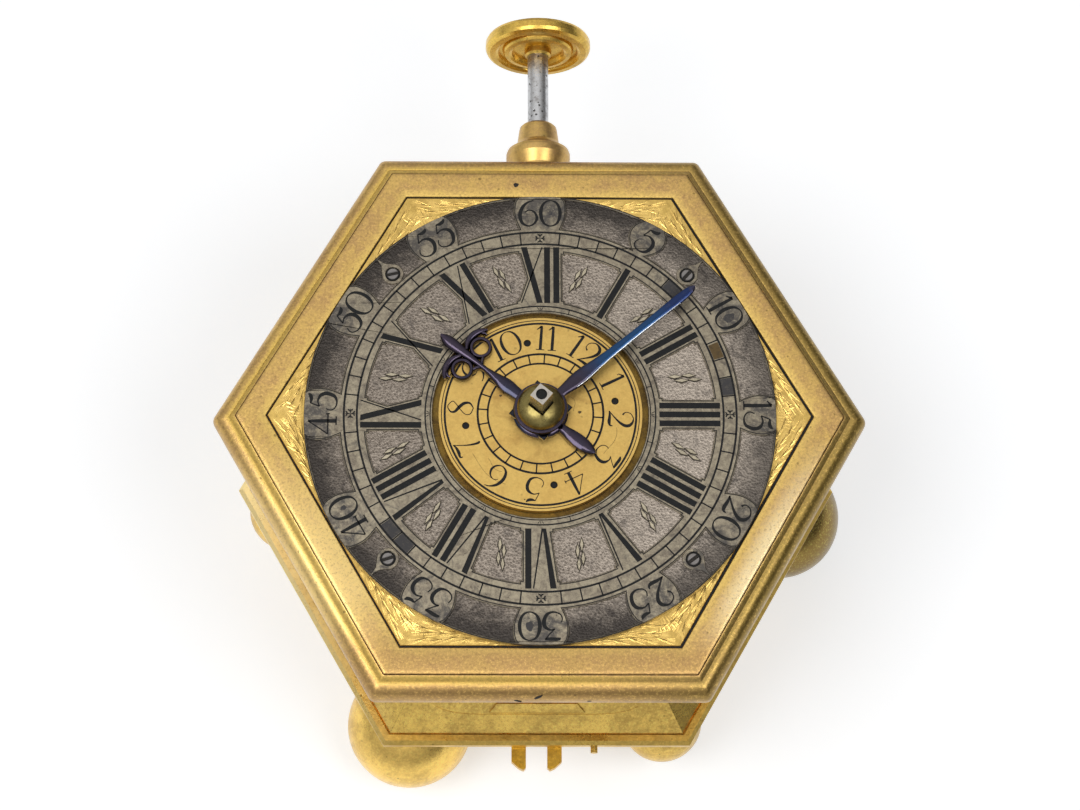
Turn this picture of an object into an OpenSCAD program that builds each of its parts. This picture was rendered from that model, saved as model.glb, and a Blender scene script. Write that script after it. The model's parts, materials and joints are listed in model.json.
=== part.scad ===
// Hexagonal horizontal table clock with alarm, gilt brass case on three ball feet.
// +Z is up, z = 0 is the table, the hands turn about the Z axis and 12 o'clock is at +Y.

/* [Case] */
// Width of the bezel across its flats
bezel_w = 108; // [107:1:116]
// Height from the underside of the base plate to the top of the bezel
case_h = 50.5; // [50:0.5:56]
// Width of the bezel's flat top
bezel_flat = 5; // [4.6:0.1:5.6]
// Thickness of the case wall
wall_t = 1.8; // [1.4:0.1:2]
// Width of each window in the case wall
window_w = 30; // [20:1:34]

/* [Feet] */
// Diameter of each ball foot
foot_d = 25.8; // [22:0.2:27]
// Height of the neck between a ball foot and the base plate
foot_neck = 4.7; // [3.5:0.1:7]
// Diameter of each corner knob
knob_d = 16.6; // [12:0.2:18]

/* [Dial] */
// Gap between the chapter ring and the bezel
ring_gap = 0.3; // [0.2:0.1:2]
// Diameter of the alarm disc
alarm_d = 38.4; // [34:0.2:39.2]
// Length of the minute hand from the dial's centre to its tip
minute_len = 38.6; // [30:0.2:42]
// Length of the hour hand from the dial's centre to its tip
hour_len = 24.4; // [20:0.2:28]

/* [Plunger] */
// Diameter of the plunger's button
button_d = 21.5; // [16:0.5:24]
// Distance that the plunger can be pushed in
plunger_stroke = 8; // [4:0.5:9]

/* [Movement] */
// Diameter of the balance wheel
balance_d = 26; // [20:0.5:27]
// Number of pillars between the plates
pillar_count = 4; // [3:1:4]

/* [Hidden] */
$fn = 64;

// Running clearance of a shaft in its hole
fit = 0.05;
// Clearance between neighbours that move past each other
clear = 0.3;
// How far a cut runs past the face that it opens
past = 0.5;
// Soldered gap between strips that meet at a mitre
seam = 0.04;

gilt = "#c79d45";
brass = "#b08a3a";
silver = "#8e8a82";
steel = "#83868b";
blued = "#242c52";
glass = "#cfe0dd";

// Levels of the case, upwards from the table
foot_flat = 0.5;
base_z = foot_d - foot_flat + foot_neck;
top_z = base_z + case_h;
floor_t = 1.2;
rim_h = 2.4;
mould_z = base_z + floor_t + 0.2;
mould_h = 4.8;
wall_z = mould_z + mould_h;

// Inradii of the hexagons, from the bezel inwards
bezel_r = bezel_w / 2;
crease_r = bezel_r - 4.1;
aperture_r = crease_r - bezel_flat;
wall_r = bezel_r - 9;
wall_in = wall_r - wall_t;
plate_r = bezel_r - 0.8;
rim_in = plate_r - 2;
mould_r = rim_in - 0.2;
bezel_drop = 5.3;
bezel_h = 7.8;

// Feet and knobs stand at alternate corners of the base
foot_at = plate_r / cos(30) - 9.3;
tenon_r = 2;
foot_angles = [0, 120, 240];
knob_angles = [60, 180, 300];
knob_drop = 5.3;

// Hinge of the case along the back of the base plate
hinge_y = plate_r + 2.2;
hinge_z = base_z + rim_h + 0.6;
knuckle_r = 1.9;
hinge_pin_r = 0.8;
knuckle_in = 5.8;
knuckle_out = 14;

// Pinch catch under the front of the base plate
catch_x = 3.6;
catch_w = 2.9;
catch_t = 2;
catch_pivot_y = 19.2 - plate_r;
catch_pivot_x = 6;
catch_z = base_z - 0.2 - catch_t;
catch_tip_y = -plate_r - 4.6;
hook_y = -(wall_in - 1.4);
hook_w = 2;
hook_d = 1.6;
screw_r = 1;

// Small nib on the base plate's front edge
nib_x = 11.5;
nib_r = 0.7;
nib_z = base_z + 0.85;

// Dial and hands, upwards from the bezel's top
dial_t = 1.8;
dial_z = top_z - 2;
dial_r = aperture_r - 0.35;
dial_hole_r = alarm_d / 2 - 7;
ring_z = dial_z + dial_t;
ring_t = 1.2;
ring_r = aperture_r - ring_gap;
ring_in = alarm_d / 2 + 1.2;
ring_screw_at = ring_r - 4.6;
alarm_z = top_z + 0.2;
alarm_t = 1.2;
hour_z = top_z + 2;
hour_t = 0.8;
minute_z = top_z + 4;
minute_t = 0.7;
collet_z = minute_z + minute_t;
collet_h = 2.7;
square_w = 3;
square_turn = 51;
square_top = top_z + 12.5;
hour_angle = 51;
minute_angle = -50;

// Bell in the base, and the room over it for the balance
bell_r = wall_in - 2.2;
bell_flat = bell_r - 6;
bell_t = 1.2;
bell_z = base_z + floor_t + 2.3;
balance_room = 8.8;

// Movement plates between the bell and the dial
post_h = 7;
plate_t = 2;
front_z = dial_z - post_h - plate_t;
back_z = bell_z + bell_t + balance_room;
between_z = back_z + plate_t;
plate_gap = front_z - between_z;
bell_top = back_z - 2.2;
frame_gap = 5.2;
frame_r = wall_in - frame_gap;
pillar_at = frame_r / cos(30) - 3.28;
post_at = frame_r - 8;
pillar_angles = [60, 300, 240, 120];

// Arbors
arbor_r = 0.8;
centre_r = 1;
pipe_r = 1.9;
hour_pipe_r = 3;
alarm_pipe_r = 4.2;

// Wheel counts and modules of the going train, from the barrel to the crown wheel, to suit the plates
module_unit = frame_r / 95;
great_n = 84;
great_m = 1.125 * module_unit;
centre_leaves = 12;
centre_n = 72;
centre_m = module_unit;
third_n = 64;
third_m = 0.95 * module_unit;
contrate_n = 60;
leaves = 8;
crown_n = 15;
crown_r = 16.25 * module_unit;
crown_gap = 23.5 * module_unit;
contrate_r = contrate_n * module_unit / 2;
tooth_add = 0.75;
tooth_ded = 1.05;

function polar(r, a) = [r * cos(a), r * sin(a)];
function pair_distance(n1, n2, m) = (n1 + n2) * m / 2;

// Where each arbor stands
barrel_turn = 180;
third_turn = -60;
contrate_turn = 20;
barrel_xy = polar(pair_distance(great_n, centre_leaves, great_m), barrel_turn);
third_xy = polar(pair_distance(centre_n, leaves, centre_m), third_turn);
contrate_xy = third_xy + polar(pair_distance(third_n, leaves, third_m), contrate_turn);
verge_xy = contrate_xy + [0, contrate_r + crown_gap];

// Heights of the wheels
great_z = between_z + 1.5;
great_t = 2;
barrel_h = plate_gap - 10;
drum_r = great_n * great_m / 2 - 3.5;
centre_wheel_z = great_z + great_t + barrel_h + 2.6;
wheel_t = 1.2;
contrate_tip = 3.5;
escape_z = front_z - crown_r - 2.15;
contrate_z = escape_z - contrate_tip - 1.35;
third_wheel_z = contrate_z - 3.5;

// Motion work between the front plate and the dial
cannon_n = 12;
minute_n = 36;
minute_leaves = 10;
hour_n = 40;
motion_m = 0.5;
motion_gap = pair_distance(cannon_n, minute_n, motion_m);
hour_m = 2 * motion_gap / (minute_leaves + hour_n);
motion_turn = 30;
motion_xy = polar(motion_gap, motion_turn);
motion_z = front_z + plate_t + 0.6;
hour_wheel_z = motion_z + 2.8;

// Alarm work
alarm_n = 48;
alarm_m = module_unit;
alarm_xy = [-7, 9 - frame_r];
alarm_turn = 180;
alarm_gap = pair_distance(alarm_n, leaves, alarm_m);
alarm_wheel_xy = alarm_xy + polar(alarm_gap, alarm_turn);
alarm_great_z = front_z - 1.5 - great_t;
alarm_crown_z = alarm_great_z - 9;
alarm_crown_n = 11;
alarm_crown_m = 1.75 * module_unit;
hammer_xy = alarm_wheel_xy + [-1.2, 17.5 * module_unit];
hammer_arm = 9;
hammer_turn = 270;
hammer_z = back_z - 4;

// Plunger through the back wall
plunger_z = top_z - 16;
rod_r = 2.1;
boss_end = wall_r + 22.4;
boss_step = boss_end - 4.9;
boss_seat = boss_end - 7.4;
button_y = boss_end + plunger_stroke + 8.5;
button_t = 3.1;
spring_room = 3.1;
cap_t = 1.3;

// Windows on every side but the back
window_round = 4;
window_sides = [-90, -30, 30, 150, 210];
frame_t = 1.6;
frame_w = 2.4;
housing_h = 3;
window_top = top_z - bezel_h - frame_w - 1.8;
window_low = wall_z + housing_h + frame_w + 2.9;
window_h = window_top - window_low;
window_z = (window_top + window_low) / 2;

// A hexagonal block of height h whose flats are r from its axis
module hex_block(r, h) {
    cylinder(r = r / cos(30), h = h, $fn = 6);
}

// A mitred hexagonal block whose side follows the points [flat's distance, z]
module hex_moulded(side) {
    back = [for (i = [len(side) - 1:-1:0]) [-side[i][0], side[i][1]]];
    intersection_for (k = [0:2])
        rotate([0, 0, 30 + 60 * k])
            rotate([90, 0, 0])
                linear_extrude(height = 3 * bezel_w, center = true)
                    polygon(concat(side, back));
}

// A cylinder lying along +Y from y0 to y1
module along_y(r, y0, y1) {
    translate([0, y0, 0])
        rotate([-90, 0, 0])
            cylinder(r = r, h = y1 - y0);
}

// A cylinder standing between two heights
module upright(r, z0, z1) {
    translate([0, 0, z0])
        cylinder(r = r, h = z1 - z0);
}

// A block between two corners
module block(low, high) {
    translate(low)
        cube(high - low);
}

// Outline of a wheel with n straight-sided teeth of module m, one tooth pointing along +X
module wheel_outline(n, m) {
    pitch = 360 / n;
    tip = n * m / 2 + tooth_add * m;
    root = n * m / 2 - tooth_ded * m;
    wide = 0.2 * pitch;
    narrow = 0.09 * pitch;
    polygon([for (i = [0:n - 1], p = [[root, -wide], [tip, -narrow], [tip, narrow], [root, wide]])
        polar(p[0], i * pitch + p[1])]);
}

// A wheel with a plain web and a bore
module toothed(n, m, t, bore, turn = 0) {
    difference() {
        rotate([0, 0, turn])
            linear_extrude(height = t)
                wheel_outline(n, m);
        upright(bore, -past, t + past);
    }
}

// A wheel crossed out with spokes, seated on an arbor
module spoked(n, m, t, bore, turn = 0, spokes = 4) {
    rim_r = n * m / 2 - 2.2;
    hub_r = bore + 1.8;
    difference() {
        toothed(n, m, t, bore, turn);
        for (k = [0:spokes - 1])
            rotate([0, 0, k * 360 / spokes])
                translate([0, 0, -past])
                    intersection() {
                        difference() {
                            cylinder(r = rim_r, h = t + 2 * past);
                            cylinder(r = hub_r, h = t + 2 * past);
                        }
                        linear_extrude(height = t + 2 * past)
                            polygon([[1.8, 0.9], [2 * rim_r, 0.9],
                                [2 * rim_r, 2 * rim_r], [0.9, 2 * rim_r], [0.9, 1.8]]);
                    }
    }
}

// Copies of a piece at the base's corners
module at_corners(angles, r) {
    for (a = angles)
        rotate([0, 0, a])
            translate([r, 0, 0])
                children();
}

// The sixth of a hexagonal case whose side faces direction a, up to its mitres
module case_sixth(a) {
    rotate([0, 0, a])
        translate([seam, 0, base_z])
            linear_extrude(height = case_h)
                polygon([[0, 0], [bezel_w, -bezel_w * tan(30)], [bezel_w, bezel_w * tan(30)]]);
}

// The base moulding before its bore, or its slope raised by lift
module moulding_block(lift = 0) {
    hex_moulded([[mould_r, mould_z], [mould_r, mould_z + 0.6 + lift], [wall_r + 0.4, wall_z + lift]]);
}

// Both base plate knuckles, or the case's knuckle between them
module knuckle(x0, x1) {
    translate([x0, hinge_y, hinge_z])
        rotate([0, 90, 0])
            cylinder(r = knuckle_r, h = x1 - x0);
}

module hinge_bore() {
    translate([-knuckle_out - past, hinge_y, hinge_z])
        rotate([0, 90, 0])
            cylinder(r = hinge_pin_r + fit, h = 2 * (knuckle_out + past));
}

module base_plate() color(gilt) {
    gap = knuckle_in + 0.2;
    difference() {
        union() {
            hex_moulded([[plate_r, base_z], [plate_r, base_z + 1.6], [plate_r - 0.8, base_z + rim_h]]);
            for (s = [0, 1])
                mirror([s, 0, 0]) {
                    block([gap, plate_r - 0.8, base_z + 0.4], [knuckle_out, hinge_y, base_z + 2]);
                    knuckle(gap, knuckle_out);
                }
        }
        translate([0, 0, base_z + floor_t])
            hex_block(rim_in, rim_h);
        at_corners(concat(foot_angles, knob_angles), foot_at)
            upright(tenon_r + fit, base_z - past, base_z + rim_h);
        upright(tenon_r + fit, base_z - past, base_z + rim_h);
        for (s = [-1, 1]) {
            translate([s * catch_pivot_x, catch_pivot_y, 0])
                upright(screw_r + fit, base_z - past, base_z + rim_h);
            block([s * catch_x - hook_w / 2 - 1.2, hook_y - hook_d / 2 - 0.4, base_z - past],
                [s * catch_x + hook_w / 2 + 1.2, hook_y + hook_d / 2 + 0.4, base_z + rim_h]);
        }
        translate([nib_x, 0, nib_z])
            along_y(nib_r + fit, -plate_r - past, -rim_in - 0.4);
        hinge_bore();
    }
}

module opening_nib() color(gilt) {
    translate([nib_x, 0, nib_z])
        along_y(nib_r, -plate_r - 1.4, -rim_in - 0.4);
}

// A turned ball on a neck, with a tenon riveted through the base plate
module ball_on_neck(ball_r, ball_z, neck_r, collar_r) {
    translate([0, 0, ball_z])
        sphere(r = ball_r);
    upright(neck_r, ball_z, base_z - 1);
    upright(collar_r, base_z - 1.4, base_z);
    upright(tenon_r, base_z - past, base_z + floor_t);
}

module ball_feet() color(gilt) {
    at_corners(foot_angles, foot_at)
        difference() {
            ball_on_neck(foot_d / 2, foot_d / 2 - foot_flat, 4.5, 6.4);
            upright(foot_d, -foot_d, 0);
        }
}

module corner_knobs() color(gilt) {
    at_corners(knob_angles, foot_at)
        ball_on_neck(knob_d / 2, base_z - knob_drop - knob_d / 2, 3, 4.6);
}

module bell() color(brass) {
    rise = bell_top - bell_z - bell_t;
    run = bell_r - bell_t - bell_flat;
    steps = 8;
    outer = [for (i = [0:steps])
        [bell_flat + (run + bell_t) * sin(90 * i / steps),
            bell_z + (rise + bell_t) * (1 - cos(90 * i / steps))]];
    inner = [for (i = [steps:-1:0])
        [bell_flat + run * sin(90 * i / steps), bell_z + bell_t + rise * (1 - cos(90 * i / steps))]];
    rotate_extrude()
        polygon(concat([[tenon_r + fit, bell_z]], outer, inner, [[tenon_r + fit, bell_z + bell_t]]));
}

module bell_stud() color(steel) {
    upright(3.6, base_z + floor_t, bell_z);
    upright(tenon_r, base_z, bell_z + bell_t + 2.2);
}

module bell_nut() color(steel) {
    difference() {
        translate([0, 0, bell_z + bell_t])
            cylinder(r = 3.8, h = 1.6, $fn = 6);
        upright(tenon_r + fit, bell_z, bell_z + 10);
    }
}

module base_hinge_pin() color(steel) {
    translate([-knuckle_out - 0.3, hinge_y, hinge_z])
        rotate([0, 90, 0])
            cylinder(r = hinge_pin_r, h = 2 * (knuckle_out + 0.3));
}

module catch_screws() color(steel) {
    for (s = [-1, 1])
        translate([s * catch_pivot_x, catch_pivot_y, 0]) {
            upright(screw_r, catch_z - 0.2, base_z + floor_t);
            difference() {
                upright(2.1, catch_z - 1.4, catch_z - 0.2);
                block([-3, -0.25, catch_z - 2], [3, 0.25, catch_z - 0.9]);
            }
        }
}

// One arm of the pinch catch: pivot, arm, prong with its inward tip, and the hook through the floor
module catch_lever(s) color(gilt) {
    mirror([s < 0 ? 1 : 0, 0, 0])
        difference() {
            union() {
                translate([0, 0, catch_z])
                    linear_extrude(height = catch_t)
                        polygon([[catch_pivot_x - 2.6, catch_pivot_y], [catch_pivot_x + 2.6, catch_pivot_y],
                            [catch_x + catch_w / 2, hook_y + 4], [catch_x + catch_w / 2, catch_tip_y + 1.7],
                            [catch_x, catch_tip_y + 0.4], [catch_x - catch_w / 2 + 0.5, catch_tip_y],
                            [catch_x - catch_w / 2, catch_tip_y + 0.5],
                            [catch_x - catch_w / 2, hook_y + 4]]);
                translate([catch_pivot_x, catch_pivot_y, 0])
                    upright(2.6, catch_z, catch_z + catch_t);
                block([catch_x - hook_w / 2, hook_y - hook_d / 2, catch_z],
                    [catch_x + hook_w / 2, hook_y + hook_d / 2, mould_z + 2.4]);
            }
            translate([catch_pivot_x, catch_pivot_y, 0])
                upright(screw_r + fit, catch_z - past, base_z + past);
        }
}

module catch_lever_left() {
    catch_lever(-1);
}

module catch_lever_right() {
    catch_lever(1);
}

module base_moulding() color(gilt) {
    for (a = [30:60:330])
        difference() {
            union() {
                intersection() {
                    moulding_block();
                    case_sixth(a);
                }
                if (a == 90) {
                    block([-knuckle_in, wall_r + 0.5, base_z + rim_h + 0.3],
                        [knuckle_in, hinge_y, hinge_z + 1.2]);
                    knuckle(-knuckle_in, knuckle_in);
                }
            }
            translate([0, 0, base_z])
                hex_block(wall_in, case_h);
            hinge_bore();
        }
}

// A window's opening, standing on a wall whose outer face is at x = 0
module window_shape(w, h, r, x0, x1) {
    translate([x0, 0, window_z])
        rotate([90, 0, 90])
            linear_extrude(height = x1 - x0)
                union() {
                    square([w - 2 * r, h], center = true);
                    square([w, h - 2 * r], center = true);
                    for (sx = [-1, 1], sy = [-1, 1])
                        translate([sx * (w / 2 - r), sy * (h / 2 - r)])
                            circle(r = r);
                }
}

// Six plates, mitred and soldered at the corners
module case_wall() color(gilt) {
    for (a = [30:60:330])
        difference() {
            intersection() {
                translate([0, 0, wall_z])
                    hex_block(wall_r, dial_z - wall_z);
                case_sixth(a);
            }
            translate([0, 0, wall_z - past])
                hex_block(wall_in, case_h);
            for (b = window_sides)
                rotate([0, 0, b])
                    window_shape(window_w, window_h, window_round, wall_in - past, wall_r + past);
            translate([0, 0, plunger_z])
                along_y(spring_room + 1.2 + fit, wall_in - past, wall_r + past);
        }
}

module window_frames() color(gilt) {
    for (a = window_sides)
        rotate([0, 0, a])
            difference() {
                window_shape(window_w + 2 * frame_w, window_h + 2 * frame_w, window_round + frame_w,
                    wall_r, wall_r + frame_t);
                window_shape(window_w, window_h, window_round, wall_r - past, wall_r + frame_t + past);
                window_shape(window_w + frame_w, window_h + frame_w, window_round + frame_w / 2,
                    wall_r + frame_t * 0.6, wall_r + frame_t + past);
            }
}

module window_panes() color(glass, 0.4) {
    for (a = window_sides)
        rotate([0, 0, a])
            window_shape(window_w + 3, window_h + 3, window_round + 1.5, wall_in - 1, wall_in);
}

// Segment plate on the front of the moulding, with the housing over the catch
module catch_plate() color(gilt) {
    half = 20.5;
    sag = 2;
    flat_half = 11;
    front = wall_r + 2.57;
    lug_half = 9.5;
    lug_top = 8;
    steps = 6;
    side = [for (i = [0:steps])
        [flat_half + (half - flat_half) * sin(90 * i / steps), -front + sag * (1 - cos(90 * i / steps))]];
    mirrored = [for (i = [steps:-1:0]) [-side[i][0], side[i][1]]];
    difference() {
        union() {
            intersection() {
                moulding_block(0.6);
                translate([0, 0, mould_z])
                    linear_extrude(height = mould_h + 2)
                        polygon(concat(side, [[half, -wall_r], [-half, -wall_r]], mirrored));
            }
            intersection() {
                moulding_block(1.2);
                translate([0, 0, mould_z])
                    linear_extrude(height = mould_h + 2)
                        polygon([[-lug_half, 0.12 - front], [lug_half, 0.12 - front], [lug_top, -wall_r - 0.9],
                            [-lug_top, -wall_r - 0.9]]);
            }
        }
        moulding_block();
    }
}

module bezel() color(gilt) {
    steps = 8;
    swell = [for (i = [0:steps])
        [crease_r + 1.3 + 2.8 * sin(90 * i / steps), top_z - 1 - 3.4 * (1 - cos(90 * i / steps))]];
    under = [[bezel_r, top_z - bezel_drop], [bezel_r - 1.2, top_z - bezel_drop - 0.5],
        [wall_r + 1.5, top_z - bezel_h]];
    difference() {
        hex_moulded(concat([[crease_r, top_z], [crease_r, top_z - 0.4], [crease_r + 0.9, top_z - 0.9]],
            swell, under));
        translate([0, 0, dial_z - bezel_h])
            hex_block(wall_r + fit, bezel_h);
        translate([0, 0, dial_z - past])
            hex_block(aperture_r, bezel_h);
    }
}

module plunger_boss() color(gilt) {
    bore_in = boss_seat;
    translate([0, 0, plunger_z])
        rotate([-90, 0, 0])
            rotate_extrude()
                polygon([[spring_room, wall_in], [spring_room + 1.2, wall_in], [spring_room + 1.2, wall_r],
                    [7.6, wall_r], [7.6, wall_r + 1.4], [6.6, wall_r + 2], [5.6, wall_r + 7],
                    [5.6, boss_step - 5], [6.45, boss_step - 2.6], [6.45, boss_step - 1.5],
                    [6.2, boss_step - 0.8], [5.5, boss_step - 0.3], [4.6, boss_step + 0.2], [4.25, boss_step + 0.9],
                    [3.85, boss_end - 1.1], [3.7, boss_end - 0.5], [3.2, boss_end], [rod_r + fit, boss_end],
                    [rod_r + fit, bore_in],
                    [spring_room, bore_in]]);
}

module plunger_cap() color(brass) {
    translate([0, 0, plunger_z])
        difference() {
            along_y(6, wall_in - cap_t, wall_in);
            along_y(1.5 + fit, wall_in - cap_t - past, wall_in + past);
        }
}

module plunger_rod() color(steel) {
    translate([0, 0, plunger_z]) {
        along_y(rod_r, boss_seat - 0.2, button_y + 1.6);
        along_y(2.8, boss_seat - 1.6, boss_seat - 0.1);
        along_y(1.5, wall_in - cap_t - 1.4, boss_seat - 1);
    }
}

module plunger_button() color(gilt) {
    r = button_d / 2;
    translate([0, button_y, plunger_z])
        rotate([-90, 0, 0])
            rotate_extrude()
                polygon([[rod_r + fit, -0.9], [r * 0.22, -0.9], [r * 0.25, -0.5], [r * 0.26, 0.7], [r * 0.47, 0.9],
                    [r * 0.5, 0.1], [r * 0.55, -0.2], [r * 0.63, -0.1], [r * 0.66, 0.3], [r * 0.68, 0.9],
                    [r * 0.73, 0.9], [r * 0.76, 0.2], [r * 0.81, -0.1], [r - 0.9, 0], [r - 0.3, 0.4], [r, 1],
                    [r, button_t - 0.9], [r - 0.3, button_t - 0.3], [r - 0.9, button_t], [0, button_t + 0.6],
                    [0, 1.6 + fit], [rod_r + fit, 1.6 + fit]]);
}

module plunger_spring() color(steel) {
    translate([0, 0, plunger_z])
        difference() {
            along_y(2.8, wall_in + 0.3, boss_seat - 1.9);
            along_y(1.8, wall_in, boss_seat);
        }
}

// Copies at the four screws of the chapter ring
module at_ring_screws() {
    for (a = [45:90:315])
        rotate([0, 0, a])
            translate([ring_screw_at, 0, 0])
                children();
}

module dial_plate() color(gilt) {
    difference() {
        translate([0, 0, dial_z])
            hex_block(dial_r, dial_t);
        upright(dial_hole_r, dial_z - past, top_z);
        at_ring_screws()
            upright(0.8, dial_z - past, top_z);
        at_posts()
            upright(1 + fit, dial_z - past, top_z);
    }
}

module chapter_ring() color(silver) {
    difference() {
        upright(ring_r, ring_z, ring_z + ring_t);
        upright(ring_in, ring_z - past, ring_z + ring_t + past);
        at_ring_screws() {
            upright(0.8, ring_z - past, ring_z + ring_t + past);
            upright(1.25, ring_z + 0.5, ring_z + ring_t + past);
        }
    }
}

module chapter_ring_screws() color(steel) {
    at_ring_screws() {
        upright(0.7, dial_z, ring_z + 0.6);
        difference() {
            upright(1.2, ring_z + 0.5, ring_z + ring_t + 0.1);
            rotate([0, 0, 25])
                block([-2, -0.17, ring_z + ring_t - 0.25], [2, 0.17, ring_z + ring_t + past]);
        }
    }
}

// Copies at the three dial posts
module at_posts() {
    for (a = [90, 210, 330])
        rotate([0, 0, a])
            translate([post_at, 0, 0])
                children();
}

module dial_posts() color(brass) {
    at_posts() {
        upright(2.2, front_z + plate_t, dial_z);
        upright(1, front_z, dial_z + dial_t);
    }
}

// Copies at each pillar
module at_pillars() {
    for (k = [0:pillar_count - 1])
        rotate([0, 0, pillar_angles[k]])
            translate([pillar_at, 0, 0])
                children();
}

module at_xy(p) {
    translate([p[0], p[1], 0])
        children();
}

// A movement plate at height z with the pivot holes that both plates share
module frame_plate(z) {
    difference() {
        translate([0, 0, z])
            hex_block(frame_r, plate_t);
        at_xy([0, 0])
            upright(centre_r + fit, z - past, z + plate_t + past);
        for (p = [barrel_xy, alarm_xy])
            at_xy(p)
                upright(1.4 + fit, z - past, z + plate_t + past);
        for (p = [third_xy, contrate_xy, alarm_wheel_xy, hammer_xy, verge_xy])
            at_xy(p)
                upright(arbor_r + fit, z - past, z + plate_t + past);
        at_pillars()
            upright(1 + fit, z - past, z + plate_t + past);
        children();
    }
}

module front_plate() color(brass) {
    frame_plate(front_z) {
        at_posts()
            upright(1 + fit, front_z - past, front_z + plate_t + past);
        at_xy(motion_xy)
            upright(arbor_r + fit, front_z - past, front_z + plate_t + past);
    }
}

module back_plate() color(brass) {
    frame_plate(back_z);
}

module pillars() color(brass) {
    middle = (between_z + front_z) / 2;
    at_pillars() {
        upright(1, front_z - past, front_z + plate_t);
        rotate_extrude()
            polygon([[0, between_z], [2.2, between_z], [2.2, between_z + 3], [1.5, between_z + 5],
                [2, middle - 1], [2, middle + 1], [1.5, front_z - 5], [2.2, front_z - 3], [2.2, front_z],
                [0, front_z]]);
        upright(1, back_z, between_z + past);
    }
}

module pillar_screws() color(steel) {
    at_pillars()
        difference() {
            upright(1.9, back_z - 1.1, back_z);
            block([-3, -0.2, back_z - 2], [3, 0.2, back_z - 0.7]);
        }
}

module potence() color(brass) {
    arm_in = contrate_xy[1] + 7.4;
    arm_out = contrate_xy[1] + contrate_r + 1.9;
    difference() {
        union() {
            block([contrate_xy[0] - 2.5, arm_in, front_z - 2],
                [contrate_xy[0] + 2.5, arm_out + 1.5, front_z]);
            for (y = [arm_in, arm_out])
                block([contrate_xy[0] - 2.5, y, escape_z - 1.9], [contrate_xy[0] + 2.5, y + 1.5, front_z]);
        }
        translate([contrate_xy[0], 0, escape_z])
            along_y(arbor_r + fit, arm_in - past, arm_out + 2);
    }
}

module balance_cock() color(gilt) {
    away = atan2(verge_xy[1], verge_xy[0]);
    reach = balance_d / 2 + 2.4;
    cock_turn = 110;
    at_xy(verge_xy)
        rotate([0, 0, away + cock_turn])
            difference() {
                union() {
                    block([reach - 0.6, -3, back_z - 7.6], [reach + 3.4, 3, back_z]);
                    block([0, -2, back_z - 7.6], [reach + 3.4, 2, back_z - 6]);
                    upright(3, back_z - 7.6, back_z - 6);
                }
                upright(arbor_r + fit, back_z - 8, back_z - 5);
            }
}

module balance_spring() color(steel) {
    turns = 4;
    inner = 2.4;
    step = 1.1;
    steps = 18;
    count = steps * turns;
    outside = [for (i = [0:count]) polar(inner + 0.3 + step * i / steps, i * 360 / steps)];
    inside = [for (i = [count:-1:0]) polar(inner + step * i / steps, i * 360 / steps)];
    at_xy(verge_xy)
        translate([0, 0, back_z - 2])
            linear_extrude(height = 0.8)
                polygon(concat(outside, inside));
    at_xy(verge_xy + [inner + step * turns + 0.15, 0])
        upright(0.5, back_z - 1.3, back_z);
}

module minute_stud() color(steel) {
    at_xy(motion_xy)
        upright(arbor_r, front_z, hour_wheel_z + 2.4);
}

module click() color(steel) {
    at_xy(barrel_xy) {
        translate([0, 0, back_z - 1.4])
            linear_extrude(height = 1)
                polygon([[5.2, -9.5], [7.4, -9.5], [7.6, -6], [6.6, -1.6], [5.6, -1.4], [5.4, -4]]);
        translate([6.3, -9, 0])
            upright(1.4, back_z - 1.4, back_z);
    }
}

module mainspring_barrel() color(brass) {
    at_xy(barrel_xy)
        difference() {
            union() {
                translate([0, 0, great_z])
                    toothed(great_n, great_m, great_t, 1.4 + fit, barrel_turn + 180 + 180 / great_n);
                upright(drum_r, great_z + 1, great_z + great_t + barrel_h);
            }
            upright(drum_r - 1.2, great_z + great_t, great_z + great_t + barrel_h - 1.2);
            upright(1.4 + fit, great_z - past, great_z + great_t + barrel_h + past);
        }
}

module mainspring() color(steel) {
    at_xy(barrel_xy)
        difference() {
            upright(drum_r - 1.5, great_z + great_t + 0.4, great_z + great_t + barrel_h - 1.6);
            upright(4.4, great_z, great_z + 2 * barrel_h);
        }
}

module barrel_arbor() color(steel) {
    at_xy(barrel_xy) {
        upright(1.4, back_z - 1.6, front_z + plate_t);
        upright(4.1, great_z + great_t + 0.4, great_z + great_t + barrel_h - 1.6);
        block([-1, -1, back_z - 6.4], [1, 1, back_z - 1]);
    }
}

module ratchet_wheel() color(steel) {
    n = 18;
    at_xy(barrel_xy)
        translate([0, 0, back_z - 1.5])
            difference() {
                linear_extrude(height = 1.2)
                    polygon([for (i = [0:n - 1], k = [0, 1])
                        polar(k == 0 ? 5 : 4.2, (i + k * 0.9) * 360 / n)]);
                upright(1.4 + fit, -past, 2);
            }
}

module centre_arbor() color(steel) {
    upright(centre_r, back_z, square_top - 4.5);
    translate([0, 0, great_z - 0.4])
        rotate([0, 0, barrel_turn])
            linear_extrude(height = great_t + 0.8)
                wheel_outline(centre_leaves, great_m);
    upright(2, centre_wheel_z - 1.4, centre_wheel_z);
}

module centre_wheel() color(brass) {
    translate([0, 0, centre_wheel_z])
        spoked(centre_n, centre_m, wheel_t, centre_r + fit, third_turn + 180 / centre_n);
}

// An arbor between the plates with its leaves at z
module leaved_arbor(m, z, h, turn, seat_z) {
    upright(arbor_r, back_z, front_z + plate_t);
    translate([0, 0, z])
        rotate([0, 0, turn])
            linear_extrude(height = h)
                wheel_outline(leaves, m);
    upright(1.6, seat_z - 1.2, seat_z);
}

module third_arbor() color(steel) {
    at_xy(third_xy)
        leaved_arbor(centre_m, centre_wheel_z - 0.6, 2.4, third_turn + 180, third_wheel_z);
}

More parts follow.
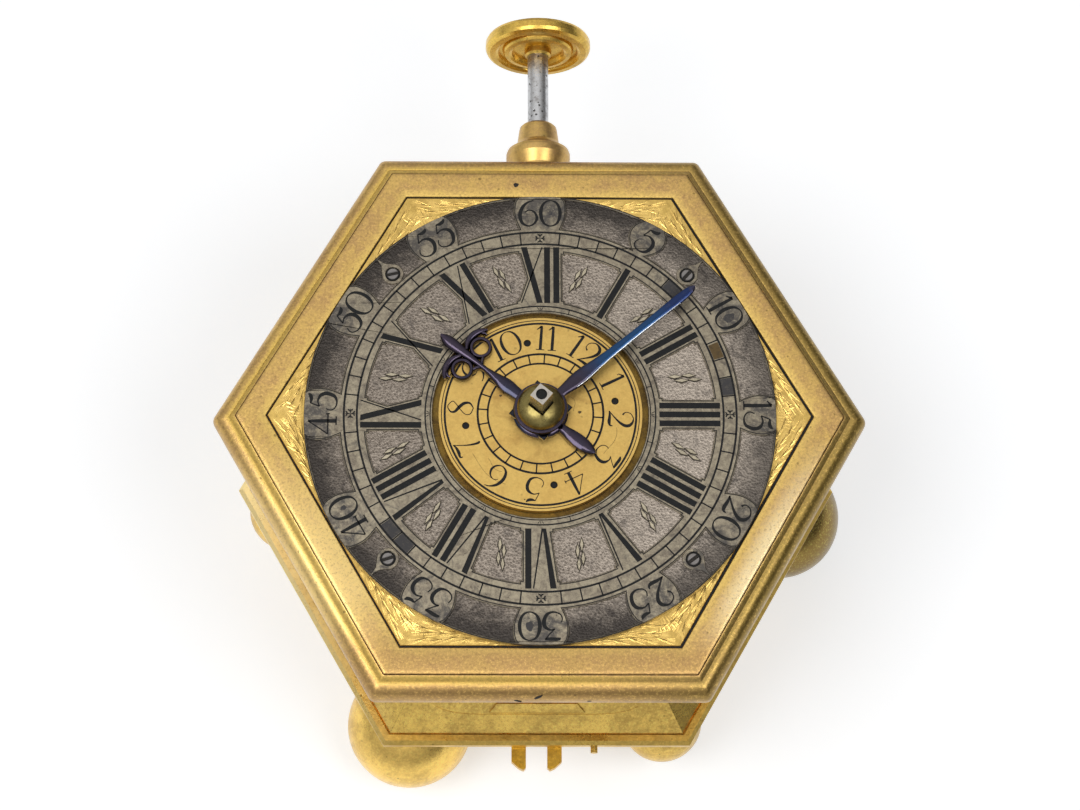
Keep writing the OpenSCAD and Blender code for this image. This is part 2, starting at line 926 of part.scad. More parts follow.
module third_wheel() color(brass) {
    at_xy(third_xy)
        translate([0, 0, third_wheel_z])
            spoked(third_n, third_m, wheel_t, arbor_r + fit, contrate_turn + 180 / third_n);
}

module contrate_arbor() color(steel) {
    at_xy(contrate_xy)
        leaved_arbor(third_m, third_wheel_z - 0.6, 2.4, contrate_turn + 180, contrate_z);
}

module contrate_wheel() color(brass) {
    rim = 1.4;
    tooth = 1.3;
    pitch = 360 / contrate_n;
    at_xy(contrate_xy)
        translate([0, 0, contrate_z]) {
            difference() {
                cylinder(r = contrate_r + rim / 2, h = contrate_tip - tooth);
                translate([0, 0, wheel_t])
                    cylinder(r = contrate_r - rim / 2, h = contrate_tip);
                upright(arbor_r + fit, -past, contrate_tip);
                for (k = [0:3])
                    rotate([0, 0, 90 * k + 45])
                        translate([6.4, 0, 0])
                            upright(3, -past, contrate_tip);
            }
            translate([0, 0, contrate_tip - tooth])
                for (i = [0:contrate_n - 1])
                    rotate([0, 0, 90 + (i + 0.5) * pitch])
                        translate([contrate_r - rim / 2 + 0.05, -0.16, 0])
                            cube([rim - 0.1, 0.32, tooth]);
        }
}

module escape_arbor() color(steel) {
    translate([contrate_xy[0], 0, escape_z]) {
        along_y(arbor_r, contrate_xy[1] + 7.4, contrate_xy[1] + contrate_r + 7.4);
        translate([0, contrate_xy[1] + contrate_r + 1.5, 0])
            rotate([90, 0, 0])
                rotate([0, 0, -90])
                    linear_extrude(height = 3)
                        wheel_outline(leaves, module_unit);
    }
}

module escape_wheel() color(brass) {
    y0 = contrate_xy[1] + contrate_r + 4.4;
    web = 1;
    depth = 3.4;
    translate([contrate_xy[0], y0, escape_z])
        rotate([-90, 0, 0]) {
            difference() {
                cylinder(r = crown_r, h = depth - 1.4);
                translate([0, 0, web])
                    cylinder(r = crown_r - 0.9, h = depth);
                upright(arbor_r + fit, -past, depth);
            }
            for (i = [0:crown_n - 1])
                rotate([0, 0, i * 360 / crown_n])
                    translate([crown_r - 0.8, 0, depth - 1.4])
                        rotate([90, 0, 90])
                            linear_extrude(height = 0.6)
                                polygon([[-0.9, -0.3], [0.9, -0.3], [0.9, 0], [0.8, 1.4], [0.5, 1.4],
                                    [-0.9, 0]]);
        }
}

module balance_wheel() color(brass) {
    r = balance_d / 2;
    at_xy(verge_xy)
        translate([0, 0, back_z - 5])
            difference() {
                union() {
                    difference() {
                        cylinder(r = r, h = 1.6);
                        translate([0, 0, -past])
                            cylinder(r = r - 2, h = 3);
                    }
                    for (k = [0:2])
                        rotate([0, 0, 120 * k])
                            block([0, -0.9, 0.2], [r - 1, 0.9, 1.4]);
                    cylinder(r = 2.2, h = 1.6);
                }
                upright(arbor_r + fit, -past, 3);
            }
}

module verge_staff() color(steel) {
    pallet = 0.5;
    at_xy(verge_xy) {
        upright(arbor_r, back_z - 7.6, front_z + plate_t);
        for (s = [-1, 1])
            translate([0, 0, escape_z + s * (crown_r - 0.6)])
                rotate([0, 0, -90 + s * 45])
                    block([0, -0.2, -0.7], [arbor_r + pallet, 0.2, 0.7]);
    }
}

// The setting square, or the hole for it in what sits on it
module square_post(w, z0, z1) {
    rotate([0, 0, square_turn])
        block([-w / 2, -w / 2, z0], [w / 2, w / 2, z1]);
}

module cannon_pinion() color(steel) {
    difference() {
        union() {
            translate([0, 0, motion_z])
                rotate([0, 0, motion_turn + 180])
                    linear_extrude(height = 2)
                        wheel_outline(cannon_n, motion_m);
            upright(pipe_r, motion_z, minute_z);
            square_post(square_w, minute_z - past, square_top);
        }
        upright(centre_r + fit, motion_z - past, square_top + past);
    }
}

module minute_wheel() color(brass) {
    at_xy(motion_xy)
        difference() {
            union() {
                translate([0, 0, motion_z + 0.3])
                    toothed(minute_n, motion_m, 1.2, arbor_r + fit, motion_turn + 180 + 180 / minute_n);
                translate([0, 0, motion_z + 1])
                    rotate([0, 0, motion_turn + 180])
                        linear_extrude(height = 3.8)
                            wheel_outline(minute_leaves, hour_m);
            }
            upright(arbor_r + fit, motion_z - past, motion_z + 8);
        }
}

module hour_wheel() color(brass) {
    difference() {
        union() {
            translate([0, 0, hour_wheel_z])
                rotate([0, 0, motion_turn + 180 / hour_n])
                    linear_extrude(height = wheel_t)
                        wheel_outline(hour_n, hour_m);
            upright(hour_pipe_r, hour_wheel_z, hour_z + hour_t);
        }
        upright(pipe_r + fit, hour_wheel_z - past, hour_z + hour_t + past);
    }
}

// A flat outline's mirror image joined to itself, pointing along +Y
module both_sides(half) {
    polygon(concat(half, [for (i = [len(half) - 1:-1:0]) [-half[i][0], half[i][1]]]));
}

module hour_hand() color(blued) {
    scroll_x = 2.72;
    scroll_r = 2.25;
    scroll_at = hour_len - 7.6;
    tail = hour_len * 0.54;
    difference() {
        translate([0, 0, hour_z])
            rotate([0, 0, hour_angle])
                difference() {
                    linear_extrude(height = hour_t)
                        union() {
                            circle(r = 5.25);
                            both_sides([[0.1, -tail], [1.3, -tail + 5], [0.6, -tail + 8.4]]);
                            both_sides([[1.2, 0], [1.3, scroll_at - 10.4], [1.45, scroll_at - 8.6],
                                [0.55, scroll_at - 3.6], [0.65, scroll_at], [0.8, scroll_at + 1.5],
                                [3, scroll_at + 1.9], [5.2, scroll_at + 1.4], [6.4, scroll_at + 1.5],
                                [4.9, scroll_at + 2.8], [3, scroll_at + 3.4], [1.05, scroll_at + 3],
                                [1.25, scroll_at + 5], [0.1, hour_len]]);
                            for (s = [-1, 1])
                                translate([s * scroll_x, scroll_at])
                                    circle(r = scroll_r);
                        }
                    for (s = [-1, 1])
                        translate([s * scroll_x, scroll_at, 0])
                            upright(1.35, -past, hour_t + past);
                }
        upright(hour_pipe_r + fit, hour_z - past, hour_z + hour_t + past);
    }
}

module minute_hand() color(blued) {
    difference() {
        translate([0, 0, minute_z])
            rotate([0, 0, minute_angle])
                linear_extrude(height = minute_t)
                    union() {
                        circle(r = 5.1);
                        both_sides([[1, 0], [1.05, minute_len * 0.15], [1.5, minute_len * 0.25],
                            [0.85, minute_len * 0.46], [0.78, minute_len * 0.63], [0.98, minute_len * 0.88],
                            [0.7, minute_len - 0.8], [0.1, minute_len]]);
                    }
        square_post(square_w + 2 * fit, minute_z - past, minute_z + minute_t + past);
    }
}

module hand_collet() color(gilt) {
    difference() {
        translate([0, 0, collet_z])
            rotate_extrude()
                polygon([[0, 0], [4.5, 0], [4.5, 0.6], [4.1, 1.4], [3.2, 2.1], [2.4, collet_h],
                    [0, collet_h]]);
        square_post(square_w + 2 * fit, collet_z - past, collet_z + collet_h + past);
    }
}

module alarm_disc() color(gilt) {
    hole_at = 14.3;
    difference() {
        union() {
            upright(alarm_d / 2, alarm_z, alarm_z + alarm_t);
            upright(alarm_pipe_r, dial_z - 1.4, alarm_z + past);
        }
        upright(hour_pipe_r + fit, dial_z - 2, alarm_z + alarm_t + past);
        for (k = [0:3])
            rotate([0, 0, 100 + 90 * k])
                translate([hole_at, 0, 0])
                    upright(0.7, alarm_z - past, alarm_z + alarm_t + past);
    }
}

module alarm_barrel() color(brass) {
    at_xy(alarm_xy) {
        translate([0, 0, alarm_great_z])
            rotate([0, 0, alarm_turn + 180 / alarm_n])
                linear_extrude(height = great_t)
                    wheel_outline(alarm_n, alarm_m);
        upright(alarm_gap - 5, alarm_great_z - 11, alarm_great_z + 1);
        upright(1.4, back_z - 1, front_z + plate_t);
        block([-1, -1, back_z - 6.4], [1, 1, back_z - 0.6]);
    }
}

module alarm_wheel() color(steel) {
    at_xy(alarm_wheel_xy) {
        upright(arbor_r, back_z, front_z + plate_t);
        translate([0, 0, alarm_great_z - 0.4])
            rotate([0, 0, alarm_turn + 180])
                linear_extrude(height = great_t + 0.8)
                    wheel_outline(leaves, alarm_m);
        translate([0, 0, alarm_crown_z])
            linear_extrude(height = wheel_t)
                wheel_outline(alarm_crown_n, alarm_crown_m);
    }
}

module alarm_hammer() color(steel) {
    at_xy(hammer_xy) {
        upright(arbor_r, hammer_z, front_z + plate_t);
        for (s = [-1, 1])
            rotate([0, 0, -80 + 35 * s])
                block([0, -0.3, alarm_crown_z - 0.4], [2.2, 0.3, alarm_crown_z + 1.6]);
        rotate([0, 0, hammer_turn]) {
            block([0, -0.8, hammer_z], [hammer_arm, 0.8, hammer_z + 1.6]);
            translate([hammer_arm, 0, 0])
                upright(1.6, hammer_z - 0.7, hammer_z + 2.3);
        }
        upright(1.8, hammer_z, hammer_z + 1.6);
    }
}

base_plate();
ball_feet();
corner_knobs();
bell();
bell_stud();
bell_nut();
base_hinge_pin();
catch_screws();
opening_nib();
catch_lever_left();
catch_lever_right();
base_moulding();
case_wall();
window_frames();
window_panes();
catch_plate();
bezel();
plunger_boss();
plunger_cap();
plunger_rod();
plunger_button();
plunger_spring();
dial_plate();
chapter_ring();
chapter_ring_screws();
dial_posts();
front_plate();
back_plate();
pillars();
pillar_screws();
potence();
balance_cock();
balance_spring();
minute_stud();
click();
mainspring_barrel();
mainspring();
barrel_arbor();
ratchet_wheel();
centre_arbor();
centre_wheel();
third_arbor();
third_wheel();
contrate_arbor();
contrate_wheel();
escape_arbor();
escape_wheel();
balance_wheel();
verge_staff();
cannon_pinion();
minute_wheel();
hour_wheel();
hour_hand();
minute_hand();
hand_collet();
alarm_disc();
alarm_barrel();
alarm_wheel();
alarm_hammer();
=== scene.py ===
"""Looks of a hexagonal horizontal table clock with alarm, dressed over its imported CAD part.

Lengths are in millimetres and become metres when a mesh is made. Angles on the dial are degrees,
clockwise from 12 o'clock, which is at +Y.
"""
import json
import math
import random

import bmesh
import bpy
from mathutils import Matrix, Vector
from mathutils.geometry import tessellate_polygon


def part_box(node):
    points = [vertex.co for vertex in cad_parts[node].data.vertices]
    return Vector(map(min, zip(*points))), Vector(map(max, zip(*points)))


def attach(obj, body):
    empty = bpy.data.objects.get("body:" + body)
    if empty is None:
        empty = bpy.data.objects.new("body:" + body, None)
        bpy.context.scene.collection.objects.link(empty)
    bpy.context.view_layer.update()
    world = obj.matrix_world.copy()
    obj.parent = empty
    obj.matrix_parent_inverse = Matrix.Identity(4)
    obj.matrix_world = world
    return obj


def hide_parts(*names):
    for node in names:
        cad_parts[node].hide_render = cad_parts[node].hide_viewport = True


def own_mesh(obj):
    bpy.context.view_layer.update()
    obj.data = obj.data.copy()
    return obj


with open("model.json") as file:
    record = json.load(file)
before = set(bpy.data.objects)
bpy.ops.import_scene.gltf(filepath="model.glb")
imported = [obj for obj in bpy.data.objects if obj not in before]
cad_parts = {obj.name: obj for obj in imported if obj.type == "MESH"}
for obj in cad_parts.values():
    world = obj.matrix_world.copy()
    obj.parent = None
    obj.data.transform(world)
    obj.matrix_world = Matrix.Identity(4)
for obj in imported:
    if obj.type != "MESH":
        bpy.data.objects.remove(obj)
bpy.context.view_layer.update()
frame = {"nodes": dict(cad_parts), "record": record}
MM = 0.001
COS30 = math.cos(math.radians(30))
SQUARE = [(-1, -1), (1, -1), (1, 1), (-1, 1)]

# Levels of the CAD part
DIAL_LOW, DIAL_TOP = 78.5, 80.3
RING_LOW, RING_TOP = 80.3, 81.5
RING_GROUND = 81.2
DISC_TOP = 81.9
HOUR_LOW, HOUR_TOP = 82.5, 83.3
MINUTE_LOW, MINUTE_TOP = 84.5, 85.2
COLLET_LOW = 85.2
INLAY = 0.02

# Radii of the dial
DIAL_R = 44.55
RING_R, RING_IN = 44.6, 20.4
RIM_IN = 44.2
BAND_OUT = 38.05
ROMAN_OUT, ROMAN_IN = 33.95, 22.45
FIELD_OUT, FIELD_IN = 33.05, 22.95
SCREW_AT = 40.0
HOUR_ANGLE, MINUTE_ANGLE, ALARM_ANGLE = -51.0, 50.0, 34.0


# Plane geometry

def turned(point, angle):
    """A point turned clockwise about the dial's centre."""
    a = math.radians(angle)
    x, y = point
    return (x * math.cos(a) + y * math.sin(a), y * math.cos(a) - x * math.sin(a))


def polar(radius, angle):
    return turned((0.0, radius), angle)


def plus(a, b):
    return (a[0] + b[0], a[1] + b[1])


def swung(points, angle):
    return [turned(p, angle) for p in points]


def moved(points, by):
    return [plus(p, by) for p in points]


def arc(radius, start, end):
    """Points about a degree apart, from start to end."""
    count = max(2, int(abs(end - start)) + 1)
    return [polar(radius, start + (end - start) * i / (count - 1)) for i in range(count)]


def circle(radius, count):
    return [polar(radius, -360.0 * i / count) for i in range(count)]


def hexagon(inradius):
    """Corners of a hexagon whose flats face 12 o'clock."""
    return [polar(inradius / COS30, 30 + 60 * k) for k in range(6)]


def area(loop):
    return 0.5 * sum(a[0] * b[1] - b[0] * a[1] for a, b in zip(loop, loop[1:] + loop[:1]))


def wound(loop, left=True):
    """The loop counter-clockwise, or clockwise where left is false."""
    return loop if (area(loop) > 0) == left else loop[::-1]


def normals(loop, closed=True):
    """Mitred left normals of a loop or an open path."""
    points = [Vector(p) for p in loop]
    found = []
    for i, here in enumerate(points):
        before = points[i - 1] if closed or i > 0 else here
        after = points[(i + 1) % len(points)] if closed or i + 1 < len(points) else here
        sides = [s.normalized() for s in (here - before, after - here) if s.length > 1e-9]
        lefts = [Vector((-s.y, s.x)) for s in sides] or [Vector((0.0, 0.0))]
        total = sum(lefts, Vector((0.0, 0.0)))
        found.append(total / max(0.35, 0.5 * total.length_squared) if len(lefts) > 1 else total)
    return found


def offset(loop, distance):
    """The loop moved to its left."""
    return [(p[0] + n.x * distance, p[1] + n.y * distance) for p, n in zip(loop, normals(loop))]


def smooth_path(points, per=6, closed=False):
    """A rounded path through the points."""
    count = len(points)
    path = []
    for i in range(count if closed else count - 1):
        near = [(i + k) % count if closed else min(max(i + k, 0), count - 1) for k in (-1, 0, 1, 2)]
        p = [Vector(points[k]) for k in near]
        for j in range(per):
            t = j / per
            q = 0.5 * (2 * p[1] + (p[2] - p[0]) * t + (2 * p[0] - 5 * p[1] + 4 * p[2] - p[3]) * t * t
                       + (3 * p[1] - p[0] - 3 * p[2] + p[3]) * t ** 3)
            path.append(tuple(q))
    return path if closed else path + [tuple(points[-1])]


# Solid geometry

class Solid:
    """Closed skins gathered into one mesh."""

    def __init__(self):
        self.verts, self.faces = [], []

    def add(self, verts, faces):
        base = len(self.verts)
        self.verts += [tuple(v) for v in verts]
        self.faces += [[base + i for i in face] for face in faces]

    def plate(self, outer, low, high, holes=(), chamfer=0.0):
        """A flat plate with holes; its upper edges may be chamfered."""
        walls = [wound(list(outer))] + [wound(list(h), False) for h in holes]
        tops = [offset(w, chamfer) for w in walls] if chamfer else walls
        levels = [(walls, low), (walls, high - chamfer)] + ([(tops, high)] if chamfer else [])
        verts, faces, starts = [], [], []
        for loops, z in levels:
            starts.append(len(verts))
            verts += [(x, y, z) for loop in loops for x, y in loop]
        for upper, lower in zip(starts[1:], starts):
            at = 0
            for loop in walls:
                n = len(loop)
                for i in range(n):
                    here, after = at + i, at + (i + 1) % n
                    faces.append((lower + here, lower + after, upper + after, upper + here))
                at += n
        fill = tessellate_polygon([[Vector((x, y, 0.0)) for x, y in loop] for loop in walls])
        faces += [[starts[-1] + i for i in t] for t in fill]
        faces += [[starts[0] + i for i in reversed(t)] for t in fill]
        self.add(verts, faces)

    def loft(self, loops, round_again=False):
        """A skin over loops of equal length, closed by caps, or running round to its start."""
        n, last = len(loops[0]), len(loops) - 1
        pairs = list(zip(range(last), range(1, last + 1))) + ([(last, 0)] if round_again else [])
        faces = [(a * n + i, a * n + (i + 1) % n, b * n + (i + 1) % n, b * n + i)
                 for a, b in pairs for i in range(n)]
        if not round_again:
            faces += [list(range(n))[::-1], [last * n + i for i in range(n)]]
        self.add([v for loop in loops for v in loop], faces)

    def ribbon(self, path, halves, low, top, crown, closed=False):
        """A bar along a path in the plane, with its half-width at each point and a rounded back."""
        edge = [(1.0, 0.0), (1.0, 1 - crown), (0.86, 1 - 0.4 * crown), (0.5, 1 - 0.08 * crown)]
        section = [(-u, v) for u, v in edge] + [(0.0, 1.0)] + edge[::-1]
        loops = []
        for p, n, half in zip(path, normals(path, closed), halves):
            loops.append([(p[0] - n.x * half * u, p[1] - n.y * half * u, low + (top - low) * v)
                          for u, v in section])
        self.loft(loops, round_again=closed)

    def make(self, name, material, body, slot, replaced=None, sharp=28.0):
        """The mesh as a piece that rides on a body, and may stand for a CAD node."""
        mesh = bpy.data.meshes.new(name)
        mesh.from_pydata([Vector(v) * MM for v in self.verts], [], self.faces)
        work = bmesh.new()
        work.from_mesh(mesh)
        bmesh.ops.recalc_face_normals(work, faces=work.faces)
        work.to_mesh(mesh)
        work.free()
        mesh.polygons.foreach_set("use_smooth", [True] * len(mesh.polygons))
        mesh.set_sharp_from_angle(angle=math.radians(sharp))
        mesh.materials.append(material)
        piece = bpy.data.objects.new(name, mesh)
        bpy.context.scene.collection.objects.link(piece)
        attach(piece, body)
        if replaced:
            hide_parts(replaced)
        return piece


# Materials

class Nodes:
    """Shader nodes in one tree."""

    def __init__(self, tree):
        self.tree = tree

    def feed(self, socket, value):
        """Sets a socket, or links it where the value is another node's output."""
        if isinstance(value, bpy.types.NodeSocket):
            self.tree.links.new(value, socket)
        else:
            socket.default_value = value

    def node(self, kind, sockets=None, **settings):
        made = self.tree.nodes.new("ShaderNode" + kind)
        for name, value in settings.items():
            setattr(made, name, value)
        for socket, value in (sockets or {}).items():
            self.feed(made.inputs[socket], value)
        return made

    def math(self, operation, *values):
        return self.node("Math", dict(enumerate(values)), operation=operation).outputs[0]

    def times(self, a, b, add=0.0):
        """a * b + add."""
        return self.math("MULTIPLY_ADD", a, b, add)

    def span(self, source, low, high, start=0.0, end=1.0):
        """The source from low to high, mapped to start to end and held there."""
        sockets = {"Value": source, "From Min": low, "From Max": high, "To Min": start, "To Max": end}
        return self.node("MapRange", sockets).outputs[0]

    def band(self, source, start, full, fade, end):
        """Rises from start to full, and falls from fade to end."""
        return self.times(self.span(source, start, full), self.span(source, fade, end, 1.0, 0.0))

    def seen(self):
        """1 for rays from the camera, mirrors and glass, and 0 for light on the object."""
        rays = self.node("LightPath").outputs
        mirrors = self.math("MAXIMUM", rays["Is Camera Ray"], rays["Is Glossy Ray"])
        return self.math("MAXIMUM", mirrors, rays["Is Transmission Ray"])

    def camera_ray(self):
        return self.node("LightPath").outputs["Is Camera Ray"]


class Shader(Nodes):
    """A node material over the Principled shader, in the part's own coordinates."""

    def __init__(self, name, color, metallic, roughness, **sockets):
        self.material = bpy.data.materials.new(name)
        self.material.use_nodes = True
        super().__init__(self.material.node_tree)
        self.color = (*color, 1.0)
        self.set(Base_Color=self.color, Metallic=metallic, Roughness=roughness, **sockets)
        self.where = self.node("TexCoord").outputs["Object"]

    def set(self, **sockets):
        """Sets or links sockets of the surface, whose names have _ for each space."""
        surface = self.tree.nodes["Principled BSDF"]
        for socket, value in sockets.items():
            self.feed(surface.inputs[socket.replace("_", " ")], value)
        return self.material

    def finish(self, color, roughness, normal):
        return self.set(Base_Color=color, Roughness=roughness, Normal=normal)

    def stretched(self, scale, turn=0.0):
        """The part's coordinates, scaled along each axis and turned about Z."""
        sockets = {"Vector": self.where, "Scale": scale, "Rotation": (0.0, 0.0, math.radians(turn))}
        return self.node("Mapping", sockets).outputs[0]

    def noise(self, per_mm, detail, rough, where=None, warp=0.0):
        sockets = {"Vector": where or self.where, "Scale": per_mm / MM, "Detail": detail,
                   "Roughness": rough, "Distortion": warp}
        return self.node("TexNoise", sockets).outputs["Fac"]

    def cells(self, per_mm):
        return self.node("TexVoronoi", {"Vector": self.where, "Scale": per_mm / MM}).outputs["Distance"]

    def part(self, axis):
        """Millimetres along X, Y or Z, as R from the dial's axis, or as H over a hexagon's flats."""
        at = self.node("SeparateXYZ", {0: self.where}).outputs
        if axis in "XYZ":
            return self.times(at[axis], 1 / MM)
        x, y = at["X"], at["Y"]
        if axis == "R":
            return self.times(self.math("SQRT", self.times(y, y, self.times(x, x))), 1 / MM)
        flats = self.math("ABSOLUTE", y)
        for slope in (COS30, -COS30):
            slant = self.times(x, slope, self.times(y, 0.5))
            flats = self.math("MAXIMUM", flats, self.math("ABSOLUTE", slant))
        return self.times(flats, 1 / MM)

    def mix(self, share, a, b):
        a, b = ((*c, 1.0) if isinstance(c, tuple) and len(c) == 3 else c for c in (a, b))
        return self.node("Mix", {0: share, 6: a, 7: b}, data_type="RGBA").outputs[2]

    def layers(self, tone, *layers):
        """The tone with each (share, colour) laid over it in turn."""
        for share, color in layers:
            tone = self.mix(share, tone, color)
        return tone

    def bump(self, height, depth_mm, strength, under=None):
        sockets = {"Height": height, "Distance": depth_mm * MM, "Strength": strength}
        if under:
            sockets["Normal"] = under
        return self.node("Bump", sockets).outputs["Normal"]


def shade(color, by):
    return tuple(min(1.0, c * by) for c in color)


GOLD, BRONZE = (0.64, 0.42, 0.132), (0.44, 0.265, 0.118)
# The second colour darkens the gilt's pits, and as painted shade the line at the bezel's step.
BRIGHT, SOOT_AND_SHADE = (0.86, 0.61, 0.17), (0.07, 0.045, 0.022)


def bezel_tints(s, tone, grain):
    """Bright at the bezel's opening from wear; the rest is painted light: shade toward six o'clock, at the
    step before the roll and toward the right, highlights on the low flats and toward the left.
    """
    across, up, flats = s.part("X"), s.part("Y"), s.part("H")
    rough = s.times(grain, 1.2, flats)
    opening = s.span(rough, 45.4, 47.4, 0.7, 0.0)
    # Painted shade: darker toward six o'clock
    front_shade = s.span(up, -47.0, -40.0, 0.5, 0.0)
    # Painted shade: the roll browner, except toward the left
    roll = s.times(s.band(rough, 52.2, 53.4, 54.2, 54.7), s.span(across, -36.0, -14.0, 0.1, 0.7))
    # Painted highlights on the low flats: on the left, and on the right near their outer edge
    low = s.band(up, -46.0, -34.0, -24.0, -4.0)
    low_left_highlight = s.times(low, s.span(across, -34.0, -20.0, 0.6, 0.0))
    low_flat_sheen = s.times(low, s.band(rough, 46.5, 49.0, 50.2, 50.6))
    low_right_highlight = s.times(low_flat_sheen, s.span(across, 20.0, 34.0, 0.0, 0.75))
    # Painted shade: the roll dark olive toward the right
    roll_right_shade = s.times(s.band(rough, 51.6, 52.9, 54.4, 55.0), s.span(across, 10.0, 40.0, 0.0, 0.8))
    # Painted highlight in the cove except toward the right, and painted shade in it toward the right
    hollow_highlight = s.times(s.band(flats, 50.0, 50.2, 51.2, 51.9), s.span(across, 5.0, 32.0, 0.7, 0.0))
    hollow_right_shade = s.times(s.band(flats, 50.0, 50.2, 51.4, 52.4), s.span(across, 12.0, 34.0, 0.0, 0.6))
    # Painted shade: a dark line at the step between flat and cove
    crease_shade = s.times(s.band(flats, 49.8, 49.83, 49.93, 49.97), 0.7)
    return s.layers(
        tone, (opening, BRIGHT), (front_shade, (0.42, 0.25, 0.1)), (roll, (0.33, 0.20, 0.07)),
        (low_left_highlight, (0.95, 0.72, 0.3)), (low_right_highlight, (1.0, 0.83, 0.5)), (roll_right_shade, (0.22, 0.155, 0.032)),
        (hollow_highlight, (0.7, 0.48, 0.105)), (hollow_right_shade, (0.3, 0.215, 0.05)), (crease_shade, SOOT_AND_SHADE))


def ball_tints(s, tone, grain):
    """Painted shade: the balls are darker toward the right."""
    right = s.span(s.times(grain, 12.0, s.part("X")), 26.0, 50.0, 0.0, 0.95)
    return s.mix(right, tone, (0.2, 0.13, 0.038))


def disc_tints(s, tone, grain):
    """Brown smudges where fingers turn the disc, near its middle."""
    smudge = s.span(s.noise(0.16, 4.0, 0.6, warp=0.6), 0.53, 0.68, 0.0, 0.7)
    near = s.span(s.part("R"), 8.5, 12.5, 1.0, 0.15)
    return s.mix(s.times(smudge, near), tone, (0.36, 0.2, 0.06))


def rim_tints(s, tone, grain):
    """Painted highlight: the base is lighter toward the left."""
    return s.mix(s.span(s.part("X"), -50.0, -28.0, 0.9, 0.0), tone, (1.0, 0.79, 0.38))


def gilt(name, color=GOLD, patina=BRONZE, wear=0.7, roughness=0.34, pits=0.5, tints=None, speckle=0.35):
    """Fire-gilt brass: blotched patina, light and dark speckle, small dark pits and hair scratches."""
    s = Shader(name, color, 1.0, roughness)
    cloud = s.noise(0.1, 6.0, 0.66, warp=0.8)
    mottle = s.noise(0.55, 5.0, 0.72, warp=0.5)
    grain = s.noise(1.9, 4.0, 0.8)
    spots = s.span(s.times(mottle, 0.4, s.cells(0.34)), 0.235, 0.285, pits, 0.0)
    tone = s.mix(s.span(s.times(mottle, 0.8, cloud), 0.78, 1.04, 0.0, wear), s.color, patina)
    # Part tints: finger smudges on the alarm disc; painted light and shade on the bezel, balls and base
    if tints:
        tone = tints(s, tone, mottle)
    tone = s.layers(tone, (s.span(grain, 0.52, 0.68, 0.0, speckle), shade(color, 1.45)),
                    (s.span(grain, 0.32, 0.48, speckle, 0.0), shade(patina, 0.6)), (spots, SOOT_AND_SHADE))
    hair = s.noise(0.5, 2.0, 0.5, where=s.stretched((0.07, 2.2, 1.0), 38.0))
    cross = s.noise(0.5, 2.0, 0.5, where=s.stretched((2.0, 0.06, 1.0), 12.0))
    scratches = s.bump(s.times(hair, 0.4, cross), 0.014, 0.35)
    matt = s.span(s.times(grain, 0.5, cloud), 0.5, 1.0, roughness - 0.09, roughness + 0.14)
    return s.finish(tone, matt, s.bump(s.times(spots, -1.5, grain), 0.045, 0.45, scratches))


def brass(name, color):
    """Filed brass of the movement."""
    s = Shader(name, color, 1.0, 0.34)
    cloud = s.noise(0.12, 5.0, 0.6)
    marks = s.noise(1.0, 3.0, 0.6, where=s.stretched((0.1, 2.0, 1.0)))
    tone = s.mix(s.span(cloud, 0.42, 0.75), s.color, shade(color, 0.6))
    return s.finish(tone, s.span(marks, 0.3, 0.75, 0.26, 0.48), s.bump(marks, 0.012, 0.4))


def silver_ground():
    """The ring's sunk fields: punched all over, dark in the hollows, blackened toward the rim; as painted
    light, lighter toward the right and darker toward the left.
    """
    s = Shader("silver_ground", (0.27, 0.235, 0.2), 0.8, 0.46)
    punch = s.cells(2.3)
    grit = s.noise(2.2, 4.0, 0.78)
    cloud = s.noise(0.3, 5.0, 0.7, warp=1.0)
    across = s.part("X")
    black = s.span(s.times(s.math("ADD", cloud, grit), 8.0, s.part("R")), 44.0, 50.5, 0.0, 0.95)
    tone = s.layers(
        (0.125, 0.1, 0.08),
        (s.span(s.times(punch, 0.6, grit), 0.5, 1.0), (0.43, 0.368, 0.305)),
        # Painted light: darker toward the left, lighter toward the right
        (s.span(across, -30.0, 26.0, 0.3, 0.0), (0.13, 0.105, 0.082)),
        (s.span(across, 2.0, 26.0, 0.0, 0.35), (0.52, 0.45, 0.375)),
        (s.span(s.times(grit, 0.4, cloud), 0.72, 0.9, 0.0, 0.65), (0.07, 0.06, 0.055)),
        # Blackened toward the rim, less so toward the right as painted light
        (s.times(black, s.span(across, 15.0, 40.0, 1.0, 0.75)), (0.04, 0.034, 0.03)))
    matt = s.span(grit, 0.3, 0.75, 0.36, 0.6)
    return s.finish(tone, matt, s.bump(s.math("ADD", punch, grit), 0.16, 0.8))


def silver_polished(name="silver_polished", color=(0.345, 0.298, 0.215), stain=0.85):
    """The ring's raised lines and plates: dull yellowish silver, stained grey-brown."""
    s = Shader(name, color, 0.9, 0.36)
    cloud = s.noise(0.45, 6.0, 0.72, warp=0.9)
    blot = s.noise(0.2, 5.0, 0.66, warp=1.4)
    grain = s.noise(1.7, 4.0, 0.8)
    rim = s.span(s.part("R"), 37.2, 40.5, 0.0, 0.16)
    tone = s.layers(
        s.color,
        (s.span(cloud, 0.42, 0.62, 0.0, stain), (0.175, 0.145, 0.112)),
        (s.span(s.math("ADD", blot, rim), 0.58, 0.74, 0.0, stain), (0.07, 0.066, 0.066)),
        (s.span(grain, 0.54, 0.7, 0.0, 0.55), shade(color, 1.35)),
        (s.span(grain, 0.3, 0.46, 0.6, 0.0), (0.09, 0.075, 0.06)))
    matt = s.span(grain, 0.3, 0.7, 0.26, 0.48)
    return s.finish(tone, matt, s.bump(s.math("ADD", grain, cloud), 0.06, 0.6))


